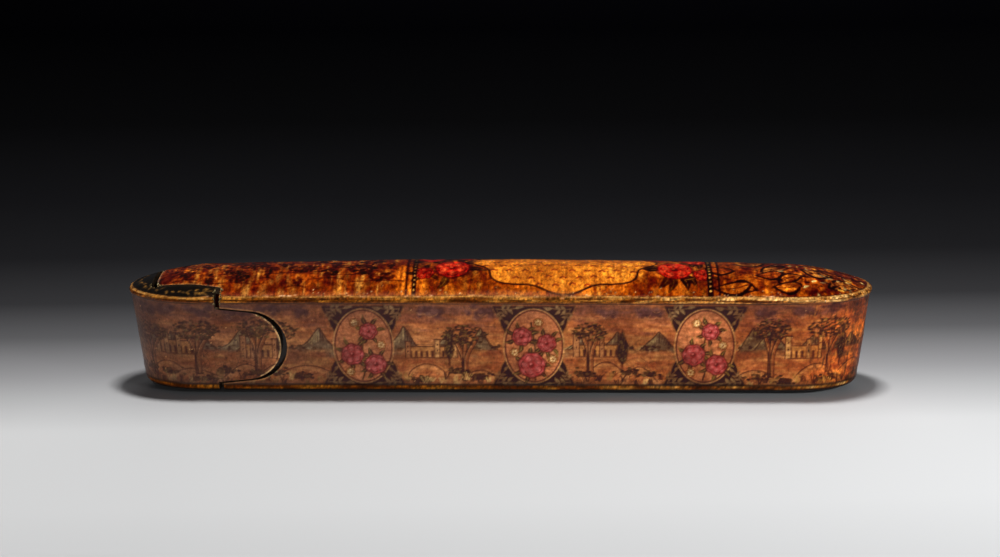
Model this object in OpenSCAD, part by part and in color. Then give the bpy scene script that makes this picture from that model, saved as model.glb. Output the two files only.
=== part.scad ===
// Persian drawer pen box: a lacquered papier-mache case, a drawer that pulls out of its
// left end, and the writing set that lies in the drawer.
// Millimetres. X runs along the box and the drawer opens towards -X, Y runs across it,
// and the base rests on Z = 0 with the origin under the middle.

/* [Outer shape] */
// Length over the rim
body_l = 230; // [205:1:260]
// Width over the rim
body_w = 36.6; // [34:0.2:44]
// Height of the rim above the base
rim_h = 30.6; // [29:0.2:36]
// Rise of the top across the width
crown_h = 4.4; // [2:0.2:7]
// Further rise of the top at mid-length
bow_h = 2.8; // [0:0.2:4]
// Length of each rounded end
end_l = 24.4; // [20:0.2:28]
// How far the base stands in from the rim at the ends
base_in_l = 3.7; // [1:0.1:6]
// How far the base stands in from the rim at the sides
base_in_w = 3.4; // [1:0.1:4.5]
// Rounding of the base edge
base_r = 2.6; // [1:0.1:4]
// Height of the rounded rim bead
bead_h = 2.2; // [1:0.1:3.5]
// How far the rim bead stands proud of the walls
bead_out = 0.4; // [0.1:0.05:0.8]

/* [Walls] */
// Wall of the case
case_wall = 2.2; // [1.6:0.1:3]
// Running clearance between the case and the drawer
slide_gap = 0.3; // [0.15:0.05:0.6]
// Wall of the drawer trough
trough_wall = 1.6; // [1:0.1:2.2]
// Height of the drawer trough's edge above the base
trough_h = 24.5; // [22:0.5:27]
// Room behind the trough's closed end
tail_gap = 2; // [1.7:0.1:4]
// Chamfer at the foot of the inner walls
foot_r = 0.6; // [0.3:0.1:1.2]

/* [Joint line] */
// Length of the drawer head at its shoulders
head_l = 29; // [26:0.5:36]
// Length of the side lobes beyond the shoulders
lobe_l = 19.8; // [15:0.2:26]
// Radius of the round tip of a side lobe
lobe_r = 11; // [8:0.1:11.6]
// Height of a side lobe at the shoulders
lobe_h = 24; // [22.5:0.1:25]
// Height of the middle of the side lobes
lobe_z = 15.3; // [15:0.1:16.5]
// Length of the case tongues beyond the shoulders
tongue_l = 20.8; // [14:0.2:21.5]
// Width of the top tongue at its root
top_root_w = 28; // [24:0.2:29]
// Width of the top tongue at its tip
top_tip_w = 21; // [16:0.2:23]
// Width of the base tongue at its root
base_root_w = 19; // [16:0.2:21]
// Width of the base tongue at its tip
base_tip_w = 14; // [11:0.2:16]
// Rounding of the tongue tips' corners
tongue_r = 2.6; // [1:0.1:5]
// Clearance beside the lobes and tongues
joint_gap = 0.3; // [0.15:0.05:0.6]
// How far the drawer stands open at rest
ajar = 1.5; // [0.5:0.1:1.6]

/* [Inkwell] */
// Length of the ink cup
ink_l = 36; // [28:0.5:38]
// Clearance beside the ink cup at the trough's floor
cup_gap = 0.45; // [0.2:0.05:1.5]
// Height of the ink cup
ink_h = 9; // [8:0.5:10.5]
// Corner radius of the ink cup in plan
ink_r = 4.5; // [2:0.5:6]
// Wall of the ink cup
ink_wall = 0.8; // [0.5:0.1:1.2]
// Thickness of the soldered cover
cover_t = 0.8; // [0.6:0.1:1.4]
// Overhang of the cover past the cup
cover_over = 0.3; // [0.1:0.1:0.5]
// Diameter of the ink mouth
mouth_d = 11; // [8:0.5:12]
// Distance of the mouth's middle from the cup's left end
mouth_in = 12.5; // [9:0.5:15]
// Wall of the mouth's collar
collar_wall = 0.8; // [0.5:0.1:1.2]
// Height of the collar above the cover
collar_h = 1.8; // [1.4:0.1:3]
// Thickness of the lid
lid_t = 1; // [0.8:0.1:1.5]
// Overhang of the lid past the collar
lid_over = 0.5; // [0.2:0.1:1]
// Gap between the closed lid and the collar
lid_gap = 0.1; // [0.05:0.05:0.3]
// Diameter of the hinge pin
pin_d = 1.2; // [0.8:0.1:1.6]
// Diameter of the hinge knuckles
knuckle_d = 2.4; // [2:0.1:3]
// Length of each cover knuckle
knuckle_l = 2.6; // [1.5:0.1:4]
// Length of the lid's knuckle
lid_knuckle_l = 4; // [2:0.1:6]
// Radial clearance of the pin in the lid's knuckle
pin_gap = 0.05; // [0.02:0.01:0.1]
// Diameter of the lid knob
knob_d = 3.2; // [2:0.1:4]
// Height of the silk wad in the cup
wad_h = 3.2; // [2:0.1:3.6]
// Clearance of the wad inside the cup
wad_gap = 0.3; // [0.1:0.1:1]

/* [Drawer fittings] */
// Room between the ink cup and the partition
bay_gap = 0.6; // [0.3:0.1:2]
// Thickness of the partition between ink and pens
partition_t = 1.6; // [1:0.1:3]
// Height of the partition above the trough's floor
partition_h = 15; // [10:0.5:17]

/* [Writing set] */
// Room past the nibs of the pens
pen_room = 2; // [0.5:0.5:12]
// Bore of a reed pen
pen_bore = 3.8; // [3:0.1:4.4]
// Length of the scooped cut that makes the nib
scoop_l = 22; // [14:1:30]
// Nib width of the fine pen
nib_fine = 1.4; // [1:0.1:2]
// Nib width of the medium pen
nib_medium = 2.4; // [2:0.1:3]
// Nib width of the broad pen
nib_broad = 4; // [3:0.1:5]
// Clearance between the pieces that lie on each other
lay_gap = 0.2; // [0.1:0.05:0.3]
// How far each end of the knife lies in from the ends of the pens
knife_in = 6; // [1:0.5:12]
// Length of the knife ferrule
ferrule_l = 5; // [3:0.5:8]
// Length of the knife blade past the ferrule
blade_l = 44; // [30:1:46]
// Width of the knife blade
blade_w = 5.6; // [4:0.1:6]
// Thickness of the knife blade at its back
blade_t = 1.3; // [0.8:0.1:1.8]
// How far each end of the nib-cutting plate lies in from the ends of the pens
plate_in = 20; // [10:1:30]
// How far the nib-cutting plate reaches past the middle of the outer pen
plate_over = 3; // [2:0.1:3.6]
// Corner radius of the nib-cutting plate
plate_r = 4; // [1:0.2:4]
// Thickness of the nib-cutting plate
plate_t = 2; // [1.4:0.1:3]

/* [Hidden] */
$fn = 64;

// How far cuts run past what they cut
over = 1;

// Steps along a rounded end, a straight side and an arc of the joint line
end_steps = 22;
side_steps = 8;
arc_steps = 12;
plan_n = 2 * end_steps + 2 * side_steps;

// The rounded ends are drawn about these centres at every height
end_x = body_l / 2 - end_l;
half_w = body_w / 2;
crown_r = (half_w * half_w + crown_h * crown_h) / (2 * crown_h);

// The walls lean out up to the crest of the rim bead
crest_z = rim_h - 0.4 * bead_h;

// The joint line starts from the head's shoulders
shoulder_x = -body_l / 2 + head_l;

// The trough's outer and inner faces, measured in from the outside of the box
head_inset = case_wall + slide_gap;
trough_inset = head_inset + trough_wall;
floor_z = trough_inset;

// Half length of the floor's rounded ends, and half its width, inside the chamfer
floor_a = end_l - base_in_l * lean(floor_z) - bead_out - trough_inset - foot_r;
floor_b = half_w - base_in_w * lean(floor_z) - bead_out - trough_inset - foot_r;

// The ink cup stands on the trough's floor, where its sides clear the rounded end
ink_w = 2 * (floor_b - cup_gap);
cup_reach = floor_a * sqrt(1 - pow(ink_w / 2 / floor_b, 2));
cup_x0 = -end_x - cup_reach - ink_r + bay_gap;
cup_x1 = cup_x0 + ink_l;
cover_z = floor_z + ink_h;
lid_z = cover_z + cover_t + collar_h + lid_gap;
mouth_x = cup_x0 + mouth_in;
collar_d = mouth_d + 2 * collar_wall;
lid_d = collar_d + 2 * lid_over;
hinge_gap = 0.35;
hinge_x = mouth_x + lid_d / 2 + hinge_gap + knuckle_d / 2;
hinge_z = lid_z + lid_t / 2;
knuckle_gap = 0.15;
post_y = lid_knuckle_l / 2 + knuckle_gap;
rivet_d = 1.2;
rivet_gap = 0.05;

// The partition stands just past the ink cup
partition_x = cup_x1 + cover_over + bay_gap;

// Two pens and the knife lie side by side on the floor, the third pen and the plate lie on those
pen_d = (2 * floor_b - 4 * lay_gap) / 3;
pen_r = pen_d / 2;
row_y = pen_d + 2 * lay_gap;
row_z = floor_z + lay_gap + pen_r;
pen_x0 = partition_x + partition_t + bay_gap;
pen_l = end_x - tail_gap - pen_room - pen_x0;
upper_z = row_z + sqrt(pow(pen_d + lay_gap, 2) - pow(row_y / 2, 2));
plate_l = pen_l - 2 * plate_in;
plate_w = row_y + plate_over - lay_gap;
plate_x = pen_x0 + plate_in;
plate_y = -plate_w / 2 - lay_gap;
plate_z = floor_z + lay_gap + pen_d + lay_gap;
handle_d = pen_d;
handle_l = pen_l - 2 * knife_in - ferrule_l - blade_l;
knife_x0 = pen_x0 + knife_in;
ferrule_x = knife_x0 + handle_l;
ferrule_d = handle_d - 1.2;
tang_w = 2.6;
tang_l = 14;
tang_gap = 0.1;

// How far the wall stands in from the rim at height z, as a share of the base's set-in
function lean(z) = max(0, 1 - z / crest_z);

// Height of the top at x, where s runs from 0 on the ridge to 1 at the rim
function top_z(x, s) = rim_h + sqrt(crown_r * crown_r - pow(s * half_w, 2)) - (crown_r - crown_h)
    + bow_h * (1 - pow(2 * x / body_l, 2)) * (1 - s * s);

// The box in plan, set in by d_l at the ends and d_w at the sides, shortened by tail on the right
function plan(d_l, d_w, tail) = let (a = end_l - d_l, b = half_w - d_w, right = end_x - tail) concat(
    [for (i = [0 : end_steps]) let (t = -90 + 180 * i / end_steps) [right + a * cos(t), b * sin(t)]],
    [for (i = [1 : side_steps - 1]) [right - (right + end_x) * i / side_steps, b]],
    [for (i = [0 : end_steps]) let (t = 90 + 180 * i / end_steps) [-end_x + a * cos(t), b * sin(t)]],
    [for (i = [1 : side_steps - 1]) [-end_x + (right + end_x) * i / side_steps, -b]]);

// A level ring of the wall at height z, set in by d
function wall_ring(z, d, tail = 0) =
    [for (p = plan(base_in_l * lean(z) + d, base_in_w * lean(z) + d, tail)) [p.x, p.y, z]];

// A ring of the vaulted top, at a share s of the way out, under the outer skin by depth
function vault_ring(s, d, depth, tail = 0) =
    [for (p = plan(end_l - s * (end_l - d), half_w - s * (half_w - d), tail))
        [p.x, p.y, top_z(p.x, s * (half_w - d) / half_w) - depth]];

// A closed solid through a stack of rings, with its base and its top capped across the width
module loft(rings) {
    top = (len(rings) - 1) * plan_n;
    tip = end_steps / 2;
    tail_tip = tip + plan_n / 2;
    function twin(k) = (end_steps - k + plan_n) % plan_n;
    polyhedron(
        points = [for (r = rings) each r],
        faces = concat(
            [for (j = [0 : len(rings) - 2], k = [0 : plan_n - 1]) let (a = j * plan_n, n = (k + 1) % plan_n)
                each [[a + k, a + plan_n + k, a + plan_n + n], [a + k, a + plan_n + n, a + n]]],
            [for (k = [tip : tail_tip - 2])
                each [[top + k, top + twin(k + 1), top + k + 1], [k, k + 1, twin(k + 1)]]],
            [for (k = [tip + 1 : tail_tip - 1])
                each [[top + k, top + twin(k), top + twin(k + 1)], [k, twin(k + 1), twin(k)]]]));
}

// The whole outside of the closed box
module outer_body() {
    base = [for (a = [0 : 30 : 90]) let (z = base_r * (1 - cos(a)))
        wall_ring(z, bead_out + base_r * (1 - sin(a)))];
    bead = [[1, 1], [0.75, 0.3], [0.4, 0], [0.1, 0.6]];
    rim = [for (b = bead) wall_ring(rim_h - b[0] * bead_h, b[1] * bead_out)];
    vault = [for (s = [0.955, 0.85, 0.65, 0.4, 0.15]) vault_ring(s, 0, 0)];
    loft(concat(base, rim, vault));
}

// The outside shrunk by depth, used for hollows and for what slides in them
module inner_body(depth, tail = 0) {
    chamfer = max(foot_r, base_r - depth);
    d = depth + bead_out;
    base = [wall_ring(depth, d + chamfer, tail), wall_ring(depth + chamfer, d, tail)];
    vault = [for (s = [1, 0.8, 0.5, 0.2]) vault_ring(s, d, depth, tail)];
    loft(concat(base, vault));
}

// Direction of the point where a line from p touches a circle of radius r about c
function touch(p, c, r, turn) = let (v = p - c) atan2(v.y, v.x) + turn * acos(r / norm(v));

// Points of an arc about c from angle a0 to a1
function arc(c, r, a0, a1) = [for (i = [0 : arc_steps]) let (a = a0 + (a1 - a0) * i / arc_steps)
    c + r * [cos(a), sin(a)]];

// A side lobe seen from the front: a tapered root that runs into a round tip
module lobe_outline(grow, shift) {
    r = lobe_r + grow;
    root = lobe_h / 2 + grow;
    centre = [lobe_l - lobe_r, 0];
    a = touch([0, root], centre, r, -1);
    translate([shoulder_x + shift, lobe_z])
        polygon(concat([[-over, root], [-over, -root], [0, -root]], arc(centre, r, -a, a), [[0, root]]));
}

// A case tongue in plan: it narrows to a square tip with rounded corners
module tongue_outline(root_w, tip_w, grow, shift) {
    r = tongue_r + grow;
    root = root_w / 2 + grow;
    corner = [tongue_r - tongue_l, tip_w / 2 - tongue_r];
    a = touch([0, root], corner, r, 1);
    near = arc(corner, r, a, 180);
    translate([shoulder_x + shift, 0])
        polygon(concat([[over, -root], [over, root], [0, root]], near,
            [for (i = [arc_steps : -1 : 0]) [near[i].x, -near[i].y]], [[0, -root]]));
}

// Everything on the drawer's side of the joint line, grown and shifted to leave the open joint
module head_zone(grow, shift) {
    far = body_l;
    difference() {
        union() {
            translate([shoulder_x + shift - far, -far / 2, -over]) cube([far, far, far]);
            translate([0, far / 2, 0]) rotate([90, 0, 0]) linear_extrude(far)
                lobe_outline(grow, shift);
        }
        translate([0, 0, rim_h - bead_h]) linear_extrude(far)
            tongue_outline(top_root_w, top_tip_w, -grow, shift);
        translate([0, 0, -2 * over]) linear_extrude(head_inset + 3 * over)
            tongue_outline(base_root_w, base_tip_w, -grow, shift);
    }
}

// The moulded case with its closed right end, its hollow and its two tongues
module outer_case() {
    color("#8a4a1f") difference() {
        outer_body();
        inner_body(case_wall);
        head_zone(joint_gap, ajar);
    }
}

// The moulded end that closes the case, glued round the drawer trough
module drawer_head() {
    color("#6b3a2a") intersection() {
        difference() {
            outer_body();
            inner_body(head_inset);
        }
        head_zone(0, 0);
    }
}

// The open trough that slides in the case
module drawer_trough() {
    far = body_l;
    color("#7a2a1c") difference() {
        inner_body(head_inset, tail_gap);
        inner_body(trough_inset, tail_gap);
        translate([-far, -far, trough_h]) cube([2 * far, 2 * far, far]);
    }
}

// The wall across the trough between the ink bay and the pen bay
module well_partition() {
    far = body_w;
    color("#7a2a1c") intersection() {
        inner_body(trough_inset, tail_gap);
        translate([partition_x, -far / 2, 0]) cube([partition_t, far, floor_z + partition_h]);
    }
}

// A plate with rounded corners, its left end at x = 0
module rounded_plate(l, w, r, h) {
    linear_extrude(h) translate([l / 2, 0]) {
        square([l - 2 * r, w], center = true);
        square([l, w - 2 * r], center = true);
        for (x = [-1, 1], y = [-1, 1]) translate([x * (l / 2 - r), y * (w / 2 - r)]) circle(r);
    }
}

// The brass cup that holds the ink
module inkwell_cup() {
    color("#b08d3c") difference() {
        translate([cup_x0, 0, floor_z]) rounded_plate(ink_l, ink_w, ink_r, ink_h);
        translate([cup_x0 + ink_wall, 0, floor_z + ink_wall])
            rounded_plate(ink_l - 2 * ink_wall, ink_w - 2 * ink_wall, ink_r - ink_wall, ink_h);
    }
}

// The cover soldered on the cup, with the mouth and the two fixed hinge knuckles
module inkwell_cover() {
    color("#b8964a") difference() {
        union() {
            translate([cup_x0 - cover_over, 0, cover_z])
                rounded_plate(ink_l + 2 * cover_over, ink_w + 2 * cover_over, ink_r + cover_over, cover_t);
            for (side = [-1, 1]) translate([hinge_x, side * (post_y + knuckle_l / 2), 0]) {
                translate([0, 0, hinge_z]) rotate([90, 0, 0])
                    cylinder(d = knuckle_d, h = knuckle_l, center = true);
                translate([-knuckle_d / 2, -knuckle_l / 2, cover_z])
                    cube([knuckle_d, knuckle_l, hinge_z - cover_z]);
            }
        }
        translate([mouth_x, 0, cover_z - over]) cylinder(d = mouth_d, h = cover_t + 2 * over);
        translate([hinge_x, 0, hinge_z]) rotate([90, 0, 0])
            cylinder(d = pin_d, h = body_w, center = true);
    }
}

// The turned collar round the mouth
module inkwell_collar() {
    color("#c7a557") translate([mouth_x, 0, cover_z + cover_t]) difference() {
        cylinder(d = collar_d, h = collar_h);
        translate([0, 0, -over]) cylinder(d = mouth_d, h = collar_h + 2 * over);
    }
}

// The round lid with the plug that drops into the collar, its strap and its knuckle
module inkwell_lid() {
    plug_gap = 0.7;
    plug_h = 0.8;
    color("#b8964a") difference() {
        union() {
            translate([mouth_x, 0, lid_z]) cylinder(d = lid_d, h = lid_t);
            translate([mouth_x, 0, lid_z - plug_h]) cylinder(d = mouth_d - 2 * plug_gap, h = plug_h);
            translate([hinge_x, 0, hinge_z]) rotate([90, 0, 0])
                cylinder(d = knuckle_d, h = lid_knuckle_l, center = true);
            translate([mouth_x, -lid_knuckle_l / 2, lid_z])
                cube([hinge_x - mouth_x, lid_knuckle_l, lid_t]);
        }
        translate([hinge_x, 0, hinge_z]) rotate([90, 0, 0])
            cylinder(d = pin_d + 2 * pin_gap, h = body_w, center = true);
        translate([mouth_x, 0, lid_z - plug_h - over]) cylinder(d = rivet_d + 2 * rivet_gap, h = ink_h);
    }
}

// The pin that the lid turns on, held in the cover's knuckles
module lid_hinge_pin() {
    color("#d8b86a") translate([hinge_x, 0, hinge_z]) rotate([90, 0, 0])
        cylinder(d = pin_d, h = 2 * (post_y + knuckle_l), center = true);
}

// The turned knob riveted through the lid
module lid_knob() {
    neck_d = knob_d * 0.55;
    foot_d = knob_d * 0.8;
    foot_h = 0.4;
    neck_h = 0.9;
    ball_z = neck_h + knob_d * 0.42;
    color("#d8b86a") translate([mouth_x, 0, lid_z + lid_t]) {
        cylinder(d = foot_d, h = foot_h);
        cylinder(d = neck_d, h = ball_z);
        translate([0, 0, ball_z]) sphere(d = knob_d);
        translate([0, 0, -lid_t]) cylinder(d = rivet_d, h = lid_t + foot_h);
    }
}

// The wad of raw silk that carries the ink
module ink_wad() {
    set_in = ink_wall + wad_gap;
    color("#15130f") translate([cup_x0 + set_in, 0, floor_z + ink_wall])
        rounded_plate(ink_l - 2 * set_in, ink_w - 2 * set_in, ink_r - set_in, wad_h);
}

// A reed pen along +X from its cut end at the origin to its nib
module reed_pen(nib) {
    nib_floor = -0.7;
    scoop_h = pen_r - nib_floor;
    scoop_r = (scoop_l * scoop_l + scoop_h * scoop_h) / (2 * scoop_h);
    flank_r = 22;
    groove_at = [0.34, 0.71];
    groove_r = 0.6;
    groove_in = 0.25;
    tip_a = 24;
    color("#a8743a") difference() {
        rotate([0, 90, 0]) cylinder(d = pen_d, h = pen_l);
        translate([-over, 0, 0]) rotate([0, 90, 0]) cylinder(d = pen_bore, h = pen_l + 2 * over);
        translate([pen_l, 0, scoop_r + nib_floor]) rotate([90, 0, 0])
            cylinder(r = scoop_r, h = 2 * pen_d, center = true);
        for (side = [-1, 1]) translate([pen_l, side * (nib / 2 + flank_r), -pen_d])
            cylinder(r = flank_r, h = 2 * pen_d);
        translate([pen_l, 0, 0]) rotate([0, 0, tip_a]) translate([0, -pen_d, -pen_d])
            cube([pen_d, 2 * pen_d, 2 * pen_d]);
        for (g = groove_at) translate([g * pen_l, 0, 0]) rotate([0, 90, 0]) rotate_extrude()
            translate([pen_r + groove_r - groove_in, 0]) circle(groove_r);
    }
}

// The pens: fine and broad on the floor, medium in the furrow beside the knife
module reed_pen_fine() { translate([pen_x0, -row_y, row_z]) reed_pen(nib_fine); }
module reed_pen_broad() { translate([pen_x0, 0, row_z]) reed_pen(nib_broad); }
module reed_pen_medium() { translate([pen_x0, row_y / 2, upper_z]) reed_pen(nib_medium); }

// The turned horn handle of the pen knife, bored for the blade's tang
module knife_handle() {
    r = handle_d / 2;
    neck = ferrule_d / 2;
    color("#3a2418") translate([knife_x0, row_y, row_z]) rotate([0, 90, 0]) difference() {
        rotate_extrude() polygon([[0, 0], [r * 0.5, 0], [r * 0.75, 1], [r * 0.75, 3], [r * 0.55, 4.5],
            [r * 0.85, 12], [r, handle_l * 0.45], [r * 0.95, handle_l * 0.7], [neck, handle_l], [0, handle_l]]);
        translate([0, 0, handle_l - tang_l])
            cylinder(d = tang_w + 2 * tang_gap, h = tang_l + over);
    }
}

// The brass ferrule between the handle and the blade
module knife_ferrule() {
    lip_l = 1.2;
    lip_out = 0.3;
    color("#c7a557") translate([ferrule_x, row_y, row_z]) rotate([0, 90, 0]) difference() {
        union() {
            cylinder(d = ferrule_d, h = ferrule_l);
            translate([0, 0, ferrule_l - lip_l]) cylinder(d = ferrule_d + 2 * lip_out, h = lip_l);
        }
        translate([0, 0, -over]) cylinder(d = tang_w + 2 * tang_gap, h = ferrule_l + 2 * over);
    }
}

// The steel blade, wedge-ground to its edge, with a round tang in the handle
module knife_blade() {
    heel = ferrule_x + ferrule_l;
    edge_t = 0.2;
    color("#8d9096") translate([heel, row_y, row_z]) {
        intersection() {
            translate([0, blade_t / 2, 0]) rotate([90, 0, 0]) linear_extrude(blade_t)
                polygon([[0, -blade_w / 2], [0, blade_w / 2], [blade_l * 0.7, blade_w / 2],
                    [blade_l * 0.9, blade_w * 0.1], [blade_l, -blade_w / 2]]);
            rotate([90, 0, 90]) linear_extrude(blade_l)
                polygon([[-blade_t / 2, -blade_w / 2], [blade_t / 2, -blade_w / 2],
                    [edge_t / 2, blade_w / 2], [-edge_t / 2, blade_w / 2]]);
        }
        translate([-ferrule_l - tang_l + over, 0, 0]) rotate([0, 90, 0])
            cylinder(d = tang_w, h = ferrule_l + tang_l - over);
    }
}

// The bone plate on which the nibs are cut, with a raised rest grooved to hold the pen
module nib_plate() {
    rest_l = 26;
    rest_w = 6;
    rest_h = 2.2;
    rest_r = 1;
    groove_d = 4.4;
    color("#d9cba6") translate([plate_x, plate_y, plate_z]) difference() {
        union() {
            rounded_plate(plate_l, plate_w, plate_r, plate_t);
            translate([plate_l / 2 - rest_l / 2, 0, 0]) rounded_plate(rest_l, rest_w, rest_r, plate_t + rest_h);
        }
        translate([0, 0, plate_t + rest_h + groove_d * 0.2]) rotate([0, 90, 0])
            cylinder(d = groove_d, h = plate_l);
    }
}

outer_case();
drawer_head();
drawer_trough();
well_partition();
inkwell_cup();
inkwell_cover();
inkwell_collar();
inkwell_lid();
lid_hinge_pin();
lid_knob();
ink_wad();
reed_pen_fine();
reed_pen_medium();
reed_pen_broad();
knife_handle();
knife_ferrule();
knife_blade();
nib_plate();
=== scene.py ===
# A lacquered pen box with a sliding drawer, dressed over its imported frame.
import math
import bmesh
import bpy
import numpy as np
from mathutils import Matrix, Vector


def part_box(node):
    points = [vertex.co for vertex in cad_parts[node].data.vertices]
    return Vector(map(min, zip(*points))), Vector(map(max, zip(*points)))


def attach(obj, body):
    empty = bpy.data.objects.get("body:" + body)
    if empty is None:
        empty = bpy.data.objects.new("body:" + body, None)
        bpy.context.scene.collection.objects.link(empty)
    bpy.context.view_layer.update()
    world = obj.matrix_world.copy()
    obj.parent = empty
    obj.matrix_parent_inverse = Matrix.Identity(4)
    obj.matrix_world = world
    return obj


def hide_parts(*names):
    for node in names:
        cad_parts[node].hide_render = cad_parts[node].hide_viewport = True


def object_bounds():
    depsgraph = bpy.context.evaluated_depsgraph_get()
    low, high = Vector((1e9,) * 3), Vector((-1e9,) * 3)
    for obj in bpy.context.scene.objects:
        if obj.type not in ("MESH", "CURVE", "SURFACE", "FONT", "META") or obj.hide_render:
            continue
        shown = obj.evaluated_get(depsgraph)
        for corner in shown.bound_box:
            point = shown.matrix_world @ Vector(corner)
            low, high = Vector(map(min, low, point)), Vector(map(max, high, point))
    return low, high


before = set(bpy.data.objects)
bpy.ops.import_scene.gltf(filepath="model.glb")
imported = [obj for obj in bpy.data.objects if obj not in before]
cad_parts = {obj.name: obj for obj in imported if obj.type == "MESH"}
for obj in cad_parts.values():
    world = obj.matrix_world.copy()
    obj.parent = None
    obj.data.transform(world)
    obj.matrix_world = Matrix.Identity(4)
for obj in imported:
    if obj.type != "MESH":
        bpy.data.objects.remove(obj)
cad_low, cad_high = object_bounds()
scene = bpy.context.scene
scene.view_settings.view_transform = "Standard"

# Camera. It stands a little above the box and aims over it, so that the box sits below the middle
# of the frame. The numbers come from fitting the box's outline to the photograph.
PHOTO_W, PHOTO_H = 1000, 557
CAMERA_REACH = 0.7
CAMERA_AIM = Vector((0, 0, 0.017))
CAMERA_UP, CAMERA_ROUND, CAMERA_ROLL = math.radians(16), math.radians(1.84), math.radians(-0.39)
FOCAL_PX = 2247.0
AIM_PX = (499.0, 326.5)
SENSOR_MM = 36

back = Vector((math.sin(CAMERA_ROUND) * math.cos(CAMERA_UP), -math.cos(CAMERA_ROUND) * math.cos(CAMERA_UP),
               math.sin(CAMERA_UP)))
ahead = -back
right = ahead.cross(Vector((0, 0, 1))).normalized()
tilt = Matrix.Rotation(-math.atan((PHOTO_H / 2 - AIM_PX[1]) / FOCAL_PX), 3, right)
ahead = tilt @ ahead
up = right.cross(ahead).normalized()
ahead = Matrix.Rotation(math.atan((AIM_PX[0] - PHOTO_W / 2) / FOCAL_PX), 3, up) @ ahead
right = ahead.cross(up).normalized()
roll = Matrix.Rotation(-CAMERA_ROLL, 3, ahead)
right, up = roll @ right, roll @ up
camera = bpy.data.objects.new("camera", bpy.data.cameras.new("camera"))
camera.data.sensor_width = SENSOR_MM
camera.data.lens = FOCAL_PX * SENSOR_MM / PHOTO_W
camera.data.clip_start, camera.data.clip_end = 0.01, 20
camera.matrix_world = Matrix.Translation(CAMERA_AIM + back * CAMERA_REACH) @ Matrix(
    (right, up, -ahead)).transposed().to_4x4()
scene.collection.objects.link(camera)
scene.camera = camera


# Stage. One sheet of seamless paper, a hair below the base, so that the dark gap under it shows. Its
# colour is painted light: a pale pool under the box that falls off to black behind it. Soft boxes hang
# overhead and stand round it.
def linear(value):
    """Display values as the linear light that Blender's colours are kept in."""
    value = np.asarray(value, float)
    return np.where(value <= 0.04045, value / 12.92, ((value + 0.055) / 1.055) ** 2.4)


def paint(code):
    """A colour as a painter would name it, from its hex code, in display values."""
    return np.array([int(code[i:i + 2], 16) for i in (1, 3, 5)]) / 255


def new_material(name):
    material = bpy.data.materials.new(name)
    material.use_nodes = True
    return material, material.node_tree, material.node_tree.nodes["Principled BSDF"]


def wire(tree, node, inputs):
    """Feeds a node's inputs: outputs are linked, hex codes become colours, and plain values are set."""
    for label, source in inputs.items():
        socket = node.inputs[label]
        if isinstance(source, bpy.types.NodeSocket):
            tree.links.new(source, socket)
        elif isinstance(source, str):
            socket.default_value = (*linear(paint(source)), 1)
        else:
            socket.default_value = source


def add_node(tree, kind, inputs=None, **modes):
    """A new shader node, set to the given modes before its inputs are fed."""
    node = tree.nodes.new("ShaderNode" + kind)
    for mode, value in modes.items():
        setattr(node, mode, value)
    wire(tree, node, inputs or {})
    return node


def sum_node(tree, operation, *sources):
    return add_node(tree, "Math", dict(enumerate(sources)), operation=operation).outputs[0]


def carry(tree, source, span, to=(0, 1)):
    """A value carried from one span to another, and held at its ends."""
    labels = ("Value", "From Min", "From Max", "To Min", "To Max")
    return add_node(tree, "MapRange", dict(zip(labels, (source, *span, *to)))).outputs["Result"]


def ramp(tree, source, stops):
    """A colour ramp on a value, with stops as (place, hex code)."""
    node = add_node(tree, "ValToRGB", {"Fac": source})
    elements = node.color_ramp.elements
    while len(elements) < len(stops):
        elements.new(0.5)
    for element, (place, code) in zip(elements, stops):
        element.position = place
        element.color = (*linear(paint(code)), 1)
    return node.outputs["Color"]


FLOOR_HALF, PAPER_GAP = 3.0, 0.0012
PALE_AT, DARK_AT, FLOOR_LIGHT_SLANT = -0.35, 0.75, -0.06
FLOOR_LIGHT_STOPS = [(0.0, "#b4b5b6"), (0.22, "#cfd0d1"), (0.28, "#c8c9ca"), (0.33, "#8d8d8f"), (0.37, "#565658"),
               (0.41, "#303032"), (0.47, "#1b1b1d"), (0.56, "#131315"), (0.72, "#09090a"), (1.0, "#020203")]
floor_mesh = bpy.data.meshes.new("floor")
corners = [(-FLOOR_HALF, -FLOOR_HALF), (FLOOR_HALF, -FLOOR_HALF), (FLOOR_HALF, FLOOR_HALF),
           (-FLOOR_HALF, FLOOR_HALF)]
floor_mesh.from_pydata([(x, y, -PAPER_GAP) for x, y in corners], [], [(0, 1, 2, 3)])
floor = bpy.data.objects.new("floor", floor_mesh)
scene.collection.objects.link(floor)
floor_paper, tree, shader = new_material("floor_paper")
place = add_node(tree, "SeparateXYZ", {"Vector": add_node(tree, "TexCoord").outputs["Object"]})
# Painted light: the pool is slanted so that the floor is brighter on the right.
slant = sum_node(tree, "MULTIPLY_ADD", place.outputs["X"], FLOOR_LIGHT_SLANT, place.outputs["Y"])
falloff = ramp(tree, carry(tree, slant, (PALE_AT, DARK_AT)), FLOOR_LIGHT_STOPS)
wire(tree, shader, {"Base Color": falloff, "Roughness": 0.9, "Specular IOR Level": 0.0})
floor_mesh.materials.append(floor_paper)

world = bpy.data.worlds.new("studio")
world.use_nodes = True
wire(world.node_tree, world.node_tree.nodes["Background"], {"Color": (0.8, 0.85, 0.95, 1), "Strength": 0.04})
scene.world = world

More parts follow.
